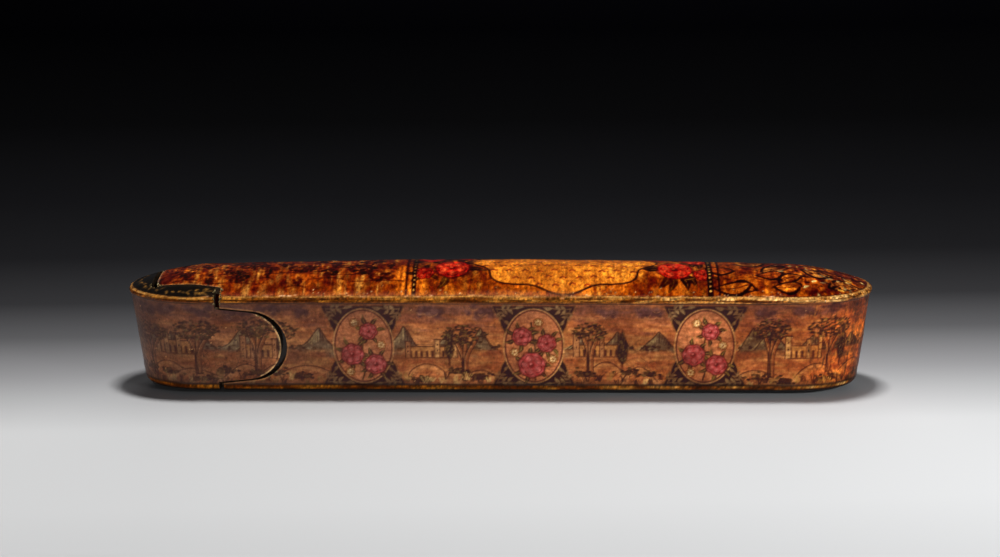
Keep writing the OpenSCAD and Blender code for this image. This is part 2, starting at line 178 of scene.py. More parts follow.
# Each soft box: its name, place, aim, size, watts, beam in degrees and colour.
SOFT_BOXES = [
    ("overhead", (0.015, 0.035, 0.74), (0, 0, 0), (0.14, 0.08), 6.0, 180, (1.0, 0.99, 0.98)),
    ("front", (-0.1, -2.4, 0.05), (0, 0, 0.02), (2.1, 0.08), 36.5, 180, (1.0, 0.98, 0.96)),
    ("right", (0.4, -0.42, 0.24), (0.11, -0.02, 0), (0.08, 0.06), 0.075, 44, (0.96, 0.98, 1.0)),
    ("left", (-1.6, -0.64, 0.12), (-0.1, 0, 0.02), (0.4, 0.2), 2.6, 180, (1.0, 0.96, 0.9)),
    ("back", (0.1, 1.05, 0.25), (0, 0, 0.02), (0.9, 0.2), 5.0, 180, (1.0, 0.98, 0.96)),
]
for name, at, towards, size, watts, beam, colour in SOFT_BOXES:
    lamp = bpy.data.lights.new(name, "AREA")
    lamp.shape = "RECTANGLE"
    lamp.size, lamp.size_y = size
    lamp.energy = watts
    lamp.spread = math.radians(beam)
    lamp.color = colour
    box = bpy.data.objects.new(name, lamp)
    box.location = at
    box.rotation_euler = (Vector(towards) - Vector(at)).to_track_quat("-Z", "Y").to_euler()
    box.visible_glossy = name in ("left", "right")
    scene.collection.objects.link(box)

# Outer case. The long sleeve with its closed right end: sheets of paper pasted over a mould, coated with
# gesso, painted and varnished, then sawn off the drawer's head. Its sawn edges and hollow are left dark.
# All sizes are in millimetres. The sides are straight, the walls lean out and the top is vaulted both ways.
MM = 0.001
BODY_L = (cad_high.x - cad_low.x) / MM
BODY_W = (cad_high.y - cad_low.y) / MM
HALF_W = BODY_W / 2
RIM_H, CROWN_H, BOW_H = 30.6, 4.4, 2.8
END_L, BASE_IN_L, BASE_IN_W, BASE_R = 24.4, 3.7, 3.4, 2.6
BEAD_H, BEAD_OUT = 2.2, 0.4
FOOT_R = 0.6
WALL_RINGS, VAULT_RINGS = 84, 50
FINE_ENDS, FINE_SIDES = 180, 560
SMOOTH_ENDS, SMOOTH_SIDES = 64, 24
END_X = BODY_L / 2 - END_L
CREST_Z = RIM_H - 0.4 * BEAD_H
CROWN_R = (HALF_W ** 2 + CROWN_H ** 2) / (2 * CROWN_H)


def lean(z):
    """The share of the base's inset that is left at a height."""
    return np.maximum(0, 1 - z / CREST_Z)


def top_z(x, s):
    """Height of the top at x, where s runs from 0 on the ridge to 1 at the rim."""
    crown = np.sqrt(CROWN_R ** 2 - (s * HALF_W) ** 2) - (CROWN_R - CROWN_H)
    return RIM_H + crown + BOW_H * (1 - (2 * x / BODY_L) ** 2) * (1 - s * s)


def plan(d_l, d_w, ends, sides, tail=0):
    """The box in plan, set in by d_l at the ends and d_w at the sides, shortened by tail on the right."""
    a, b, far = END_L - d_l, HALF_W - d_w, END_X - tail
    turn = np.radians(np.linspace(-90, 90, ends + 1))
    run = np.linspace(far, -END_X, sides + 1)[1:-1]
    x = np.r_[far + a * np.cos(turn), run, -END_X - a * np.cos(turn), run[::-1]]
    y = np.r_[b * np.sin(turn), np.full(len(run), b), -b * np.sin(turn), np.full(len(run), -b)]
    return x, y


def wall_ring(z, d, ends, sides, tail=0):
    """A level ring of the wall at height z, set in by d."""
    x, y = plan(BASE_IN_L * lean(z) + d, BASE_IN_W * lean(z) + d, ends, sides, tail)
    return np.c_[x, y, np.full(len(x), z)]


def base_ring(s, ends, sides):
    """A ring of the flat base, at a share s of the way out."""
    a, b = END_L - BASE_IN_L - BEAD_OUT - BASE_R, HALF_W - BASE_IN_W - BEAD_OUT - BASE_R
    x, y = plan(END_L - s * a, HALF_W - s * b, ends, sides)
    return np.c_[x, y, np.zeros(len(x))]


def vault_ring(s, d, depth, ends, sides):
    """A ring of the vault at a share s of the way out, set in by d at the rim and sunk by depth."""
    x, y = plan(END_L - s * (END_L - d), HALF_W - s * (HALF_W - d), ends, sides)
    return np.c_[x, y, top_z(x, s * (HALF_W - d) / HALF_W) - depth]


def loft(name, rings, ends):
    """A closed mesh through a stack of rings, capped across the width at both ends of the stack."""
    n = len(rings[0])
    k = np.arange(n)
    after = (k + 1) % n
    faces = []
    for j in range(len(rings) - 1):
        faces.append(np.c_[j * n + k, j * n + after, (j + 1) * n + after, (j + 1) * n + k])
    twin = (ends - k) % n
    tip = ends // 2
    strip = np.arange(tip, tip + n // 2)
    cap = np.c_[strip, twin[strip], twin[(strip + 1) % n], (strip + 1) % n]
    faces += [cap, cap[:, ::-1] + (len(rings) - 1) * n]
    quads = [tuple(dict.fromkeys(f)) for f in np.vstack(faces).tolist()]
    return new_piece(name, np.vstack(rings), quads)


def new_piece(name, points, faces):
    """A smooth object from points in millimetres."""
    mesh = bpy.data.meshes.new(name)
    mesh.from_pydata((np.asarray(points) * MM).tolist(), [], faces)
    mesh.validate()
    mesh.shade_smooth()
    piece = bpy.data.objects.new(name, mesh)
    scene.collection.objects.link(piece)
    return piece


def drift(p, q, cell, seed):
    """Smooth patchy values from 0 to 1, by a sine hash of the cells, so the same each run."""
    u, v = p / cell[0], q / cell[1]
    i, j = np.floor(u), np.floor(v)
    f, g = u - i, v - j
    f, g = f * f * (3 - 2 * f), g * g * (3 - 2 * g)

    def knot(a, b):
        return np.modf(np.abs(np.sin(a * 127.1 + b * 311.7 + seed * 74.7) * 43758.5453))[0]

    low = knot(i, j) * (1 - f) + knot(i + 1, j) * f
    high = knot(i, j + 1) * (1 - f) + knot(i + 1, j + 1) * f
    return low * (1 - g) + high * g


def grain(p, q, cell, seed):
    """Drift at four sizes, each turned against the last, so that no grid shows."""
    total = 0
    for k in range(4):
        c, s = math.cos(0.7 * k + 0.3), math.sin(0.7 * k + 0.3)
        shrink = 0.55 ** k
        total = total + shrink * drift(p * c / cell[0] - q * s / cell[1], p * s / cell[0] + q * c / cell[1],
                                       (shrink, shrink), seed + 17 * k)
    return total / 2.02


# Each dent: its place, its reach and its depth.
DENTS = [(100, -15, 24, 4.5, 0.3), (107, -10, 20, 5, 0.32), (111, -3, 25, 4, 0.26), (105, -11, 9, 5, 0.2),
         (-110, -4, 19, 5, 0.22), (-97, -16, 8, 4, 0.16), (60, -17, 22, 7, 0.12), (-20, 17, 14, 8, 0.2),
         (70, 17, 20, 6, 0.22), (108, 9, 16, 5, 0.25)]


def unevenness(points):
    """How far hand-laid paper stands off its mould: slow waves, knocks and a lumpy rim."""
    x, y, z = points.T
    wave = np.sin(x * 0.11 + y * 0.23) * np.cos(z * 0.19 - x * 0.045)
    wave += 0.6 * np.sin(x * 0.31 + z * 0.27 + 1.3)
    off = 0.07 * wave + 0.05 * (2 * drift(x, y + z, (3.1, 2.3), 8) - 1)
    for *at, reach, depth in DENTS:
        off -= depth * np.exp(-((points - at) ** 2).sum(1) / reach ** 2)
    rim = np.clip(1 - np.abs(z - CREST_Z) / BEAD_H, 0, 1)
    return off + rim * 0.22 * (drift(x, y * 1.7, (1.7, 1.7), 9) - 0.6)


def outward(ring):
    """The level direction straight out of the wall at each point of a ring."""
    past = np.sign(ring[:, 0]) * np.maximum(np.abs(ring[:, 0]) - END_X, 0)
    way = np.c_[past / END_L ** 2, ring[:, 1] / HALF_W ** 2]
    return way / np.maximum(np.linalg.norm(way, axis=1), 1e-9)[:, None]


def outer_form(name):
    """The outside of the whole closed box, before the joint line is cut."""
    count = (FINE_ENDS, FINE_SIDES)
    base = [base_ring(s, *count) for s in np.linspace(0.06, 0.94, 9)]
    for a in np.radians(np.linspace(0, 90, 7)):
        base.append(wall_ring(BASE_R * (1 - np.cos(a)), BEAD_OUT + BASE_R * (1 - np.sin(a)), *count))
    walls = [wall_ring(z, BEAD_OUT, *count) for z in np.linspace(BASE_R, RIM_H - BEAD_H, WALL_RINGS)[1:]]
    bead = []
    for a in np.radians(np.linspace(-75, 80, 10)):
        z = CREST_Z + BEAD_H * 0.38 * np.sin(a)
        bead.append(wall_ring(z, BEAD_OUT * (1 - np.cos(a)) * 1.15, *count))
    vault = [vault_ring(s, 0, 0, *count) for s in np.r_[0.97, np.linspace(0.95, 0.03, VAULT_RINGS)]]
    for ring in walls + bead:
        ring[:, :2] += outward(ring) * unevenness(ring)[:, None]
    for ring in vault:
        ring[:, 2] += unevenness(ring)
    return loft(name, base + walls + bead + vault, FINE_ENDS)


def inner_form(name, depth, material):
    """The outside shrunk by depth, as a tool for the hollow."""
    count = (SMOOTH_ENDS, SMOOTH_SIDES)
    foot = max(FOOT_R, BASE_R - depth)
    d = depth + BEAD_OUT
    rings = [wall_ring(depth, d + foot, *count), wall_ring(depth + foot, d, *count)]
    rings += [vault_ring(s, d, depth, *count) for s in (1, 0.9, 0.75, 0.55, 0.35, 0.15)]
    piece = loft(name, rings, SMOOTH_ENDS)
    piece.data.materials.append(material)
    return piece


# The joint line runs round lobes at the sides and tongues above and below, and the drawer stands a
# little open, so it shows as a dark gap with worn lips, the head's lobe lip also with a painted highlight.
CASE_WALL, SLIDE_GAP, TROUGH_WALL = 2.2, 0.3, 1.6
HEAD_INSET = CASE_WALL + SLIDE_GAP
TROUGH_INSET = HEAD_INSET + TROUGH_WALL
SHOULDER_X = -BODY_L / 2 + 29
LOBE_L, LOBE_R, LOBE_H, LOBE_Z = 19.8, 11, 24, 15.3
TONGUE_L, TONGUE_R = 20.8, 2.6
TOP_TONGUE, BASE_TONGUE = (28, 21), (19, 14)
JOINT_GAP, AJAR = 0.3, 1.5


def touch(p, c, r, turn):
    """The angle at which a line from p touches the circle round c."""
    v = np.subtract(p, c)
    return math.atan2(v[1], v[0]) + turn * math.acos(r / math.hypot(*v))


def arc(c, r, a0, a1, steps=24):
    """Points along part of a circle."""
    a = np.linspace(a0, a1, steps)
    return np.c_[c[0] + r * np.cos(a), c[1] + r * np.sin(a)]


def lobe_line(grow=0.0, shift=0.0):
    """The side lobe's edge in x and z, from its lower root round the tip to its upper root."""
    r, root, centre = LOBE_R + grow, LOBE_H / 2 + grow, (LOBE_L - LOBE_R, 0)
    a = touch((0, root), centre, r, -1)
    line = np.vstack([[0, -root], arc(centre, r, -a, a, 48), [0, root]])
    return line + (SHOULDER_X + shift, LOBE_Z)


def tongue_line(widths, grow=0.0, shift=0.0):
    """The tongue's edge in x and y, from its front root round the tip to its back root."""
    root, r = widths[0] / 2 + grow, TONGUE_R + grow
    corner = (TONGUE_R - TONGUE_L, widths[1] / 2 - TONGUE_R)
    far = arc(corner, r, touch((0, root), corner, r, 1), math.pi)
    line = np.vstack([[0, root], far, far[::-1] * (1, -1), [0, -root]])
    return line[::-1] + (SHOULDER_X + shift, 0)


def prism(name, outline, low, high, axis):
    """An outline pushed along z, or along y for an outline drawn in x and z."""
    n = len(outline)
    flat = [np.c_[outline, np.full(n, h)] for h in (low, high)]
    points = np.vstack(flat)
    if axis == "y":
        points = points[:, [0, 2, 1]]
    k = list(range(n))
    sides = [(i, (i + 1) % n, n + (i + 1) % n, n + i) for i in k]
    piece = new_piece(name, points, [tuple(k[::-1]), tuple(n + i for i in k)] + sides)
    fix_winding(piece)
    return piece


def fix_winding(piece):
    """Turns the faces outwards where the outline ran the other way."""
    mesh = piece.data
    points = np.array([v.co for v in mesh.vertices])
    size = sum(np.dot(points[p.vertices[0]], np.cross(points[p.vertices[i]], points[p.vertices[i + 1]]))
               for p in mesh.polygons for i in range(1, len(p.vertices) - 1))
    if size < 0:
        mesh.flip_normals()


def carve(piece, *steps):
    """Applies solid operations with other pieces, which are used up."""
    for operation, tool in steps:
        cut = piece.modifiers.new("cut", "BOOLEAN")
        cut.solver = "MANIFOLD"
        cut.operation = operation
        cut.object = tool
        cut.material_mode = "TRANSFER"
        shown = piece.evaluated_get(bpy.context.evaluated_depsgraph_get())
        mesh = bpy.data.meshes.new_from_object(shown)
        piece.modifiers.clear()
        old, piece.data = piece.data, mesh
        bpy.data.meshes.remove(old)
        bpy.data.objects.remove(tool)


def head_zone(grow, shift, material):
    """Everything on the drawer's side of the joint line, as a tool that leaves sawn edges."""
    far, under, over, edge = BODY_L, -10, 100, SHOULDER_X + shift

    def rooted(line, root):
        return np.vstack([line[0] + (root, 0), line, line[-1] + (root, 0)])

    block = [(edge - far, -far), (edge, -far), (edge, far), (edge - far, far)]
    zone = prism("zone", np.array(block), under, over, "z")
    lobe = rooted(lobe_line(grow, shift), -1)
    above = rooted(tongue_line(TOP_TONGUE, -grow, shift), 1)
    below = rooted(tongue_line(BASE_TONGUE, -grow, shift), 1)
    carve(zone, ("UNION", prism("lobe", lobe, -far, far, "y")),
          ("DIFFERENCE", prism("above", above, RIM_H - BEAD_H, over - 1, "z")),
          ("DIFFERENCE", prism("below", below, under + 1, HEAD_INSET + 1, "z")))
    zone.data.materials.clear()
    zone.data.materials.append(material)
    return zone


# The box was painted in water colours, so the picture is laid on the mesh as colour at each point, in
# strokes, dabs and filled shapes. SOFT is how far a brush mark's edge fades.
SOFT = 0.17


class Painting:
    """A picture on points with flat coordinates p and q, in millimetres."""

    def __init__(self, p, q, ground, grit=0.4):
        self.order = np.argsort(p, kind="stable")
        self.p, self.q = p[self.order], q[self.order]
        self.rgb = np.tile(paint(ground), (len(p), 1))
        self.gilt = np.zeros(len(p))
        self.gloss = np.ones(len(p))
        self.grit = np.full(len(p), grit)

    def near(self, low, high, pad):
        """The points in a box, which are found fast because they are sorted by p."""
        i, j = np.searchsorted(self.p, (low[0] - pad, high[0] + pad))
        k = np.arange(i, j)
        return k[(self.q[k] > low[1] - pad) & (self.q[k] < high[1] + pad)]

    def lay(self, k, colour, cover, gilt=0.0):
        """Covers points with a colour, and takes their gilding to the given share."""
        cover = np.clip(cover, 0, 1)
        self.rgb[k] += (paint(colour) - self.rgb[k]) * cover[:, None]
        self.gilt[k] += (gilt - self.gilt[k]) * cover

    def stroke(self, line, width, colour, cover=1.0, soft=SOFT):
        """A brush line through points."""
        line = np.asarray(line, float)
        k = self.near(line.min(0), line.max(0), width + soft)
        if not len(k):
            return
        at = np.c_[self.p[k], self.q[k]]
        start, way = line[:-1], np.diff(line, axis=0)
        along = np.clip(((at[:, None] - start) * way).sum(2) / np.maximum((way ** 2).sum(1), 1e-9), 0, 1)
        gap = np.linalg.norm(at[:, None] - start - along[..., None] * way, axis=2) - width / 2
        self.lay(k, colour, cover * (0.5 - gap.min(1) / (2 * soft)))

    def shape(self, outline, colour, cover=1.0, soft=SOFT):
        """A closed outline filled with paint."""
        outline = np.asarray(outline, float)
        k = self.near(outline.min(0), outline.max(0), soft)
        if not len(k):
            return
        at = np.c_[self.p[k], self.q[k]]
        a, b = outline, np.roll(outline, -1, axis=0)
        way = b - a
        along = np.clip(((at[:, None] - a) * way).sum(2) / np.maximum((way ** 2).sum(1), 1e-9), 0, 1)
        gap = np.linalg.norm(at[:, None] - a - along[..., None] * way, axis=2).min(1)
        over = (a[:, 1] > at[:, None, 1]) != (b[:, 1] > at[:, None, 1])
        with np.errstate(divide="ignore", invalid="ignore"):
            cross = a[:, 0] + (at[:, None, 1] - a[:, 1]) / way[:, 1] * way[:, 0]
        inside = ((at[:, None, 0] < cross) & over).sum(1) % 2 == 1
        self.lay(k, colour, cover * (0.5 + np.where(inside, gap, -gap) / (2 * soft)))

    def dab(self, at, size, colour, cover=1.0, turn=0.0, soft=0.35):
        """An oval touch of the brush: size holds its two half-widths, soft is the share that fades."""
        reach = max(size)
        k = self.near(np.subtract(at, reach), np.add(at, reach), 0)
        dp, dq = self.p[k] - at[0], self.q[k] - at[1]
        u = (dp * math.cos(turn) + dq * math.sin(turn)) / size[0]
        v = (dq * math.cos(turn) - dp * math.sin(turn)) / size[1]
        self.lay(k, colour, cover * (1 - np.hypot(u, v)) / soft)

    def wash(self, mask, colour, cover=1.0, gilt=0.0):
        """A glaze over the whole picture, as strong at each point as its mask."""
        self.lay(np.arange(len(self.p)), colour, mask * cover, gilt)

    def mottle(self, cell, seed, amount):
        """Lightens and darkens the paint in patches of the given size."""
        self.rgb *= (1 + amount * (4 * grain(self.p, self.q, cell, seed) - 2))[:, None]

    def colours(self):
        """The colours and the marks of gilding, gloss and grit, in the mesh's own order."""
        rgb, marks = np.empty_like(self.rgb), np.empty_like(self.rgb)
        rgb[self.order] = np.clip(self.rgb, 0, 1)
        marks[self.order] = np.c_[self.gilt, self.gloss, self.grit]
        return linear(rgb), marks


def curve(points, steps=10):
    """A smooth line through a few points."""
    points = np.asarray(points, float)
    ends = np.vstack([2 * points[0] - points[1], points, 2 * points[-1] - points[-2]])
    t = np.linspace(0, 1, steps, endpoint=False)[:, None]
    parts = []
    for a, b, c, d in zip(ends, ends[1:], ends[2:], ends[3:]):
        parts.append(0.5 * (2 * b + (c - a) * t + (2 * a - 5 * b + 4 * c - d) * t ** 2
                            + (3 * b - a - 3 * c + d) * t ** 3))
    return np.vstack(parts + [points[-1:]])


ALL_ROUND, QUARTER = 6.28, 1.57
INK, UMBER = "#241a14", "#4a2c1c"
CRIMSON, ROSE, MADDER = "#8a2f30", "#b5635a", "#481718"


def leaf(art, at, length, width, turn, colour, vein=None):
    """A pointed leaf from its stem at the given turn."""
    t = np.linspace(0, 1, 9)
    half = width / 2 * np.sin(np.pi * t ** 0.8)
    bend = 0.12 * length * np.sin(np.pi * t)
    u, v = np.r_[t * length, (t * length)[::-1]], np.r_[bend + half, (bend - half)[::-1]]
    c, s = math.cos(turn), math.sin(turn)
    spot = np.c_[at[0] + u * c - v * s, at[1] + u * s + v * c]
    art.shape(spot, colour)
    if vein:
        mid = np.c_[at[0] + t * length * c - bend * s, at[1] + t * length * s + bend * c]
        art.stroke(mid, 0.25, vein, 0.8)


def blossom(art, rng, at, r, body=CRIMSON, light=ROSE, dark=MADDER):
    """A full rose: a dark edge, rows of curled petals and a tight heart."""
    x, y = at
    art.dab(at, (r * 1.06, r * 1.06), INK, 0.9, soft=0.12)
    art.dab(at, (r, r), body, soft=0.1)
    for row, count in ((0.74, 7), (0.46, 5)):
        start = rng.uniform(0, ALL_ROUND)
        for k in range(count):
            a = start + k * 2 * math.pi / count
            spot = (x + row * r * math.cos(a), y + row * r * math.sin(a))
            art.dab(spot, (r * 0.36, r * 0.28), light, 0.75, a + QUARTER, soft=0.8)
            art.stroke(arc(spot, r * 0.34, a - 1.1, a + 1.1, 7), 0.28, dark, 0.85)
    art.dab(at, (r * 0.3, r * 0.3), dark, 0.8, soft=0.6)
    art.dab((x - 0.08 * r, y + 0.1 * r), (r * 0.14, r * 0.14), light, 0.9, soft=0.6)


def sprig(art, at, length, turn, bend, colour):
    """A bent twig with two pairs of pointed leaves and one at its tip."""
    a = turn + bend * np.linspace(0, 1, 7)
    line = np.vstack([at, at + np.cumsum(np.c_[np.cos(a), np.sin(a)], axis=0) * length / 7])
    art.stroke(line, 0.3, colour, 0.9)
    for k in (2, 4):
        for side in (-1, 1):
            leaf(art, line[k], length * 0.42, length * 0.19, a[k] + side * 0.85, colour)
    leaf(art, line[-1], length * 0.5, length * 0.22, a[-1], colour)


def hill(art, rng, x, base, width, height):
    """A steep rounded hill, lit from the left and brushed down its slopes."""
    t = np.linspace(-1, 1, 25)
    peak = rng.uniform(-0.25, 0.25)
    slope = np.clip(1 - np.abs(t - peak) / (1 + np.where(t > peak, -peak, peak)), 0, 1)
    ridge = np.c_[x + t * width / 2, base + height * (slope ** 1.35 + 0.05 * np.sin(7 * t + 9 * peak))]
    foot = [[x + width / 2, base - 2.5], [x - width / 2, base - 2.5]]
    art.shape(np.vstack([ridge, foot]), "#66583f", 0.9, soft=0.4)
    for k in range(int(width * 3)):
        at = ridge[rng.integers(2, 19)]
        low = at + ((at[0] - x) * 0.3, -rng.uniform(0.3, 0.6) * (at[1] - base))
        shade = rng.choice(["#8f7a52", "#a58a58"]) if at[0] < x + peak * width / 2 else "#30271e"
        art.stroke([at * 0.85 + low * 0.15, low], 0.3, shade, 0.6)
    art.stroke(ridge, 0.34, "#2b2119", 0.85)


def cypress(art, rng, x, base, height):
    """A dark spindle-shaped tree."""
    t = np.linspace(0, 1, 12)
    half = height * 0.15 * np.sin(np.pi * t ** 0.7) ** 0.9
    art.stroke([(x, base - 1), (x, base + 1.5)], 0.7, UMBER)
    side = np.c_[x + half, base + 0.8 + t * height]
    art.shape(np.vstack([side, np.c_[x - half, side[:, 1]][::-1]]), "#211d13", 0.95, soft=0.35)
    for k in range(int(height * 4)):
        u = rng.uniform(0.08, 0.9)
        reach = height * 0.14 * math.sin(math.pi * u ** 0.7)
        spot = (x + rng.uniform(-0.8, 0.8) * reach, base + 0.8 + u * height)
        art.dab(spot, (0.5, 0.28), rng.choice(["#5b5030", "#3d3722"]), 0.7, 1.2)


def broad_tree(art, rng, x, base, height, spread):
    """Forked trunks under a flat, ragged crown of leaf dabs."""
    for fork in (-0.3, 0.04, 0.36):
        tip = (x + fork * spread * 1.5, base + height * 0.8)
        trunk = curve([(x + fork * 1.2, base), (x + fork * 1.6, base + height * 0.42), tip], 6)
        art.stroke(trunk, 1.5, INK, 0.9)
        art.stroke(trunk + (0.1, 0), 0.95, "#7e4c2c", 0.95)
        art.stroke(trunk + (-0.25, 0), 0.3, "#b98250", 0.7)
    for k in range(int(spread * height * 1.5)):
        a, d = rng.uniform(0, ALL_ROUND), math.sqrt(rng.uniform(0, 1))
        spot = (x + d * spread * math.cos(a), base + height * 0.86 + d * height * 0.2 * math.sin(a))
        shade = rng.choice(["#211c13", "#2d2718", "#3f371f", "#6a5a31"], p=[0.38, 0.3, 0.2, 0.12])
        size = (rng.uniform(0.5, 1.0), rng.uniform(0.3, 0.5))
        art.dab(spot, size, shade, 0.85, rng.uniform(-0.5, 0.5), soft=0.6)


def pavilion(art, rng, x, base, width, height):
    """A long low arcade with square towers of uneven height."""
    wall, shade, half = "#a9713e", "#38241b", width / 2
    eaves = base + height * 0.5
    art.shape([(x - half, base), (x + half, base), (x + half, eaves), (x - half, eaves)], wall, 0.85)
    bays = max(4, int(width / 1.6))
    for k in range(bays):
        cx, w = x - half + (k + 0.5) * width / bays, width / bays * 0.26
        arch = arc((cx, base + height * 0.26), w, 0, math.pi, 6)
        art.shape(np.vstack([[cx + w, base + 0.2], arch, [cx - w, base + 0.2]]), shade, 0.75)
    for lift, wide, cover in ((0, 0.4, 0.85), (0.6, 0.26, 0.6), (-height * 0.5, 0.36, 0.8)):
        art.stroke([(x - half, eaves + lift), (x + half, eaves + lift)], wide, shade, cover)
    for share in rng.permutation([-1.0, -0.45, 0.2, 0.9])[:3]:
        cx, crown = x + share * half, base + height * rng.uniform(0.7, 1.0)
        w = rng.uniform(0.55, 0.95)
        tower = [(cx - w, base), (cx + w, base), (cx + w, crown), (cx - w, crown)]
        art.shape(tower, rng.choice(["#b5814c", "#9a673f"]), 0.95)
        art.stroke([(cx - w - 0.25, crown), (cx + w + 0.25, crown)], 0.4, shade, 0.9)
        for edge in (tower[0:4:3], tower[1:3]):
            art.stroke(edge, 0.28, shade, 0.85)
        for level in (0.4, 0.7):
            art.dab((cx, base + level * (crown - base)), (0.28, 0.4), shade, 0.9)


def mound(art, rng, x, base, width, height):
    """A rounded rise in the ground, light along its crest and hatched below."""
    t = np.linspace(-1, 1, 17)
    crest = np.c_[x + t * width / 2, base + height * np.cos(t * math.pi / 2) ** rng.uniform(0.6, 1.3)]
    foot = [[x + width / 2, base - 3], [x - width / 2, base - 3]]
    art.shape(np.vstack([crest, foot]), "#9a5b34", 0.75, soft=0.5)
    art.stroke(crest - (0, 0.9), 1.5, "#cb9258", 0.5, soft=0.9)
    art.stroke(crest, 0.34, "#34201a", 0.85)
    for k in range(int(width * 1.5)):
        at = crest[rng.integers(2, 15)] - (0, rng.uniform(1.5, 2 + height * 0.6))
        art.stroke([at, at - (rng.uniform(0.3, 1.2), rng.uniform(0.5, 1.2))], 0.28, "#56301f", 0.5)


def tuft(art, rng, x, base, height, colour):
    """A fan of grass blades."""
    for k in range(7):
        lean_out = rng.uniform(-0.45, 0.45)
        root = x + rng.uniform(-0.8, 0.8)
        tip = (root + lean_out * height, base + height * rng.uniform(0.6, 1))
        art.stroke([(root, base), tip], 0.3, colour, 0.7)


def cloud(art, rng, x, z, width):
    """A bank of storm cloud in round puffs, edged with light below."""
    for k in range(int(width * 2.2)):
        spot = (x + rng.uniform(-0.5, 0.5) * width, z + rng.normal(0.3, 0.8))
        r = rng.uniform(0.8, 1.7)
        art.dab(spot, (r * 1.3, r), rng.choice(["#43302f", "#533a37", "#35282a", "#6a4a40"]), 0.75, soft=0.7)
        if k % 3 == 0:
            art.stroke(arc(spot, r, -2.6, -0.5, 7), 0.28, "#b57b4c", 0.6)


PICTURE_LOW, PICTURE_HIGH, HORIZON_Z = 2.4, 28.5, 14
SKY_Z, FAR_SHRUBS_Z, EARTH_Z, GRASS_Z = (12.5, 28.4), (13.2, 15.6), (PICTURE_LOW, 13.8), (PICTURE_LOW, 4.6)
SKY_SHADES = ["#cc8c50", "#b87440", "#8d5236", "#5a3c34"]
EARTH_SHADES = ["#a8663a", "#8c4c2d", "#c08a4e", "#6b3824", "#b57444"]
GRASS_SHADES = ["#2b1e15", "#231a12", "#8d6a38", "#c39a58"]
SHRUB_SHADES = ["#231b12", "#33291a", "#4f4027"]


def country(art, rng, s0, s1):
    """Open country between two places along the wall: sky, hills, buildings, mounds, trees and grass."""
    span = s1 - s0

    def spread(gap):
        count = max(1, int(span / gap))
        return [s0 + (k + rng.uniform(0.2, 0.8)) * span / count for k in range(count)]

    for k in range(int(span * 8)):
        at = (rng.uniform(s0, s1), rng.uniform(*SKY_Z))
        tone = (at[1] - HORIZON_Z) / 15 + rng.normal(0, 0.25)
        shade = SKY_SHADES[int(np.clip(tone * 4, 0, 3))]
        size = (rng.uniform(2.5, 6), rng.uniform(0.5, 1.2))
        art.dab(at, size, shade, 0.4, rng.uniform(-0.12, 0.12), soft=0.9)
    for x in spread(11):
        cloud(art, rng, x, rng.uniform(25.6, 27.8), rng.uniform(4, 9))
    for x in spread(8.5):
        hill(art, rng, x, HORIZON_Z, rng.uniform(9, 14), rng.uniform(4.5, 8.5))
    for k in range(int(span * 2)):
        at = (rng.uniform(s0, s1), rng.uniform(*FAR_SHRUBS_Z))
        art.dab(at, (rng.uniform(0.5, 1.0), rng.uniform(0.3, 0.7)), rng.choice(["#2c2418", "#3f3522"]), 0.7)
    for k in range(int(span * 12)):
        at = np.array((rng.uniform(s0, s1), rng.uniform(*EARTH_Z)))
        way = np.array((rng.uniform(1.2, 3.5), rng.uniform(-0.3, 0.4)))
        art.stroke([at - way, at + way], rng.uniform(0.5, 1.1), rng.choice(EARTH_SHADES), 0.4, soft=0.6)
    for x in spread(24):
        pavilion(art, rng, x, 12 + rng.uniform(-0.8, 0.6), rng.uniform(10, 15), rng.uniform(6.5, 9))
    for x in spread(13):
        mound(art, rng, x, rng.uniform(4, 7), rng.uniform(11, 18), rng.uniform(2.5, 5))
    for x in spread(19):
        broad_tree(art, rng, x, rng.uniform(4.5, 7.5), rng.uniform(14.5, 18), rng.uniform(5, 7.5))
    for x in spread(40):
        cypress(art, rng, x + 5, rng.uniform(8, 11), rng.uniform(9, 13))
    for x in spread(9):
        z = rng.uniform(3.2, 7)
        for j in range(34):
            at = (x + rng.normal(0, 1.6), z + abs(rng.normal(0, 0.9)))
            art.dab(at, (0.8, 0.5), rng.choice(SHRUB_SHADES), 0.75)
    for x in spread(2.4):
        shade = rng.choice(GRASS_SHADES)
        tuft(art, rng, x, rng.uniform(*GRASS_Z), rng.uniform(1.4, 3.0), shade)


# The medallions come in two kinds, -1 and 1. A rose has its place from the middle of the medallion, its
# height and its radius.
MEDAL_Z, MEDAL_R, MEDAL_FIELD, MEDAL_LINE = 15.4, (9.2, 12.2), (8.5, 11.5), (8.7, 11.7)
MEDAL_ROSES = {1: [(-0.6, 9.2, 4.2), (3.9, 16.4, 2.9), (-3.6, 18.6, 3.0)],
               -1: [(1.6, 20.2, 2.7), (-3.4, 12.6, 3.5), (3.6, 9.4, 3.3)]}
MEDAL_BUDS = {1: [(1.4, 23.2), (-5.9, 13.4), (5.8, 11.2)], -1: [(-2.6, 23.0), (5.4, 15.8), (-4.2, 6.9)]}
BUD_R, BUD_GOLD, BUD_CREAM, BUD_BROWN = 1.4, "#b07c40", "#e0c48c", "#6d3f1e"


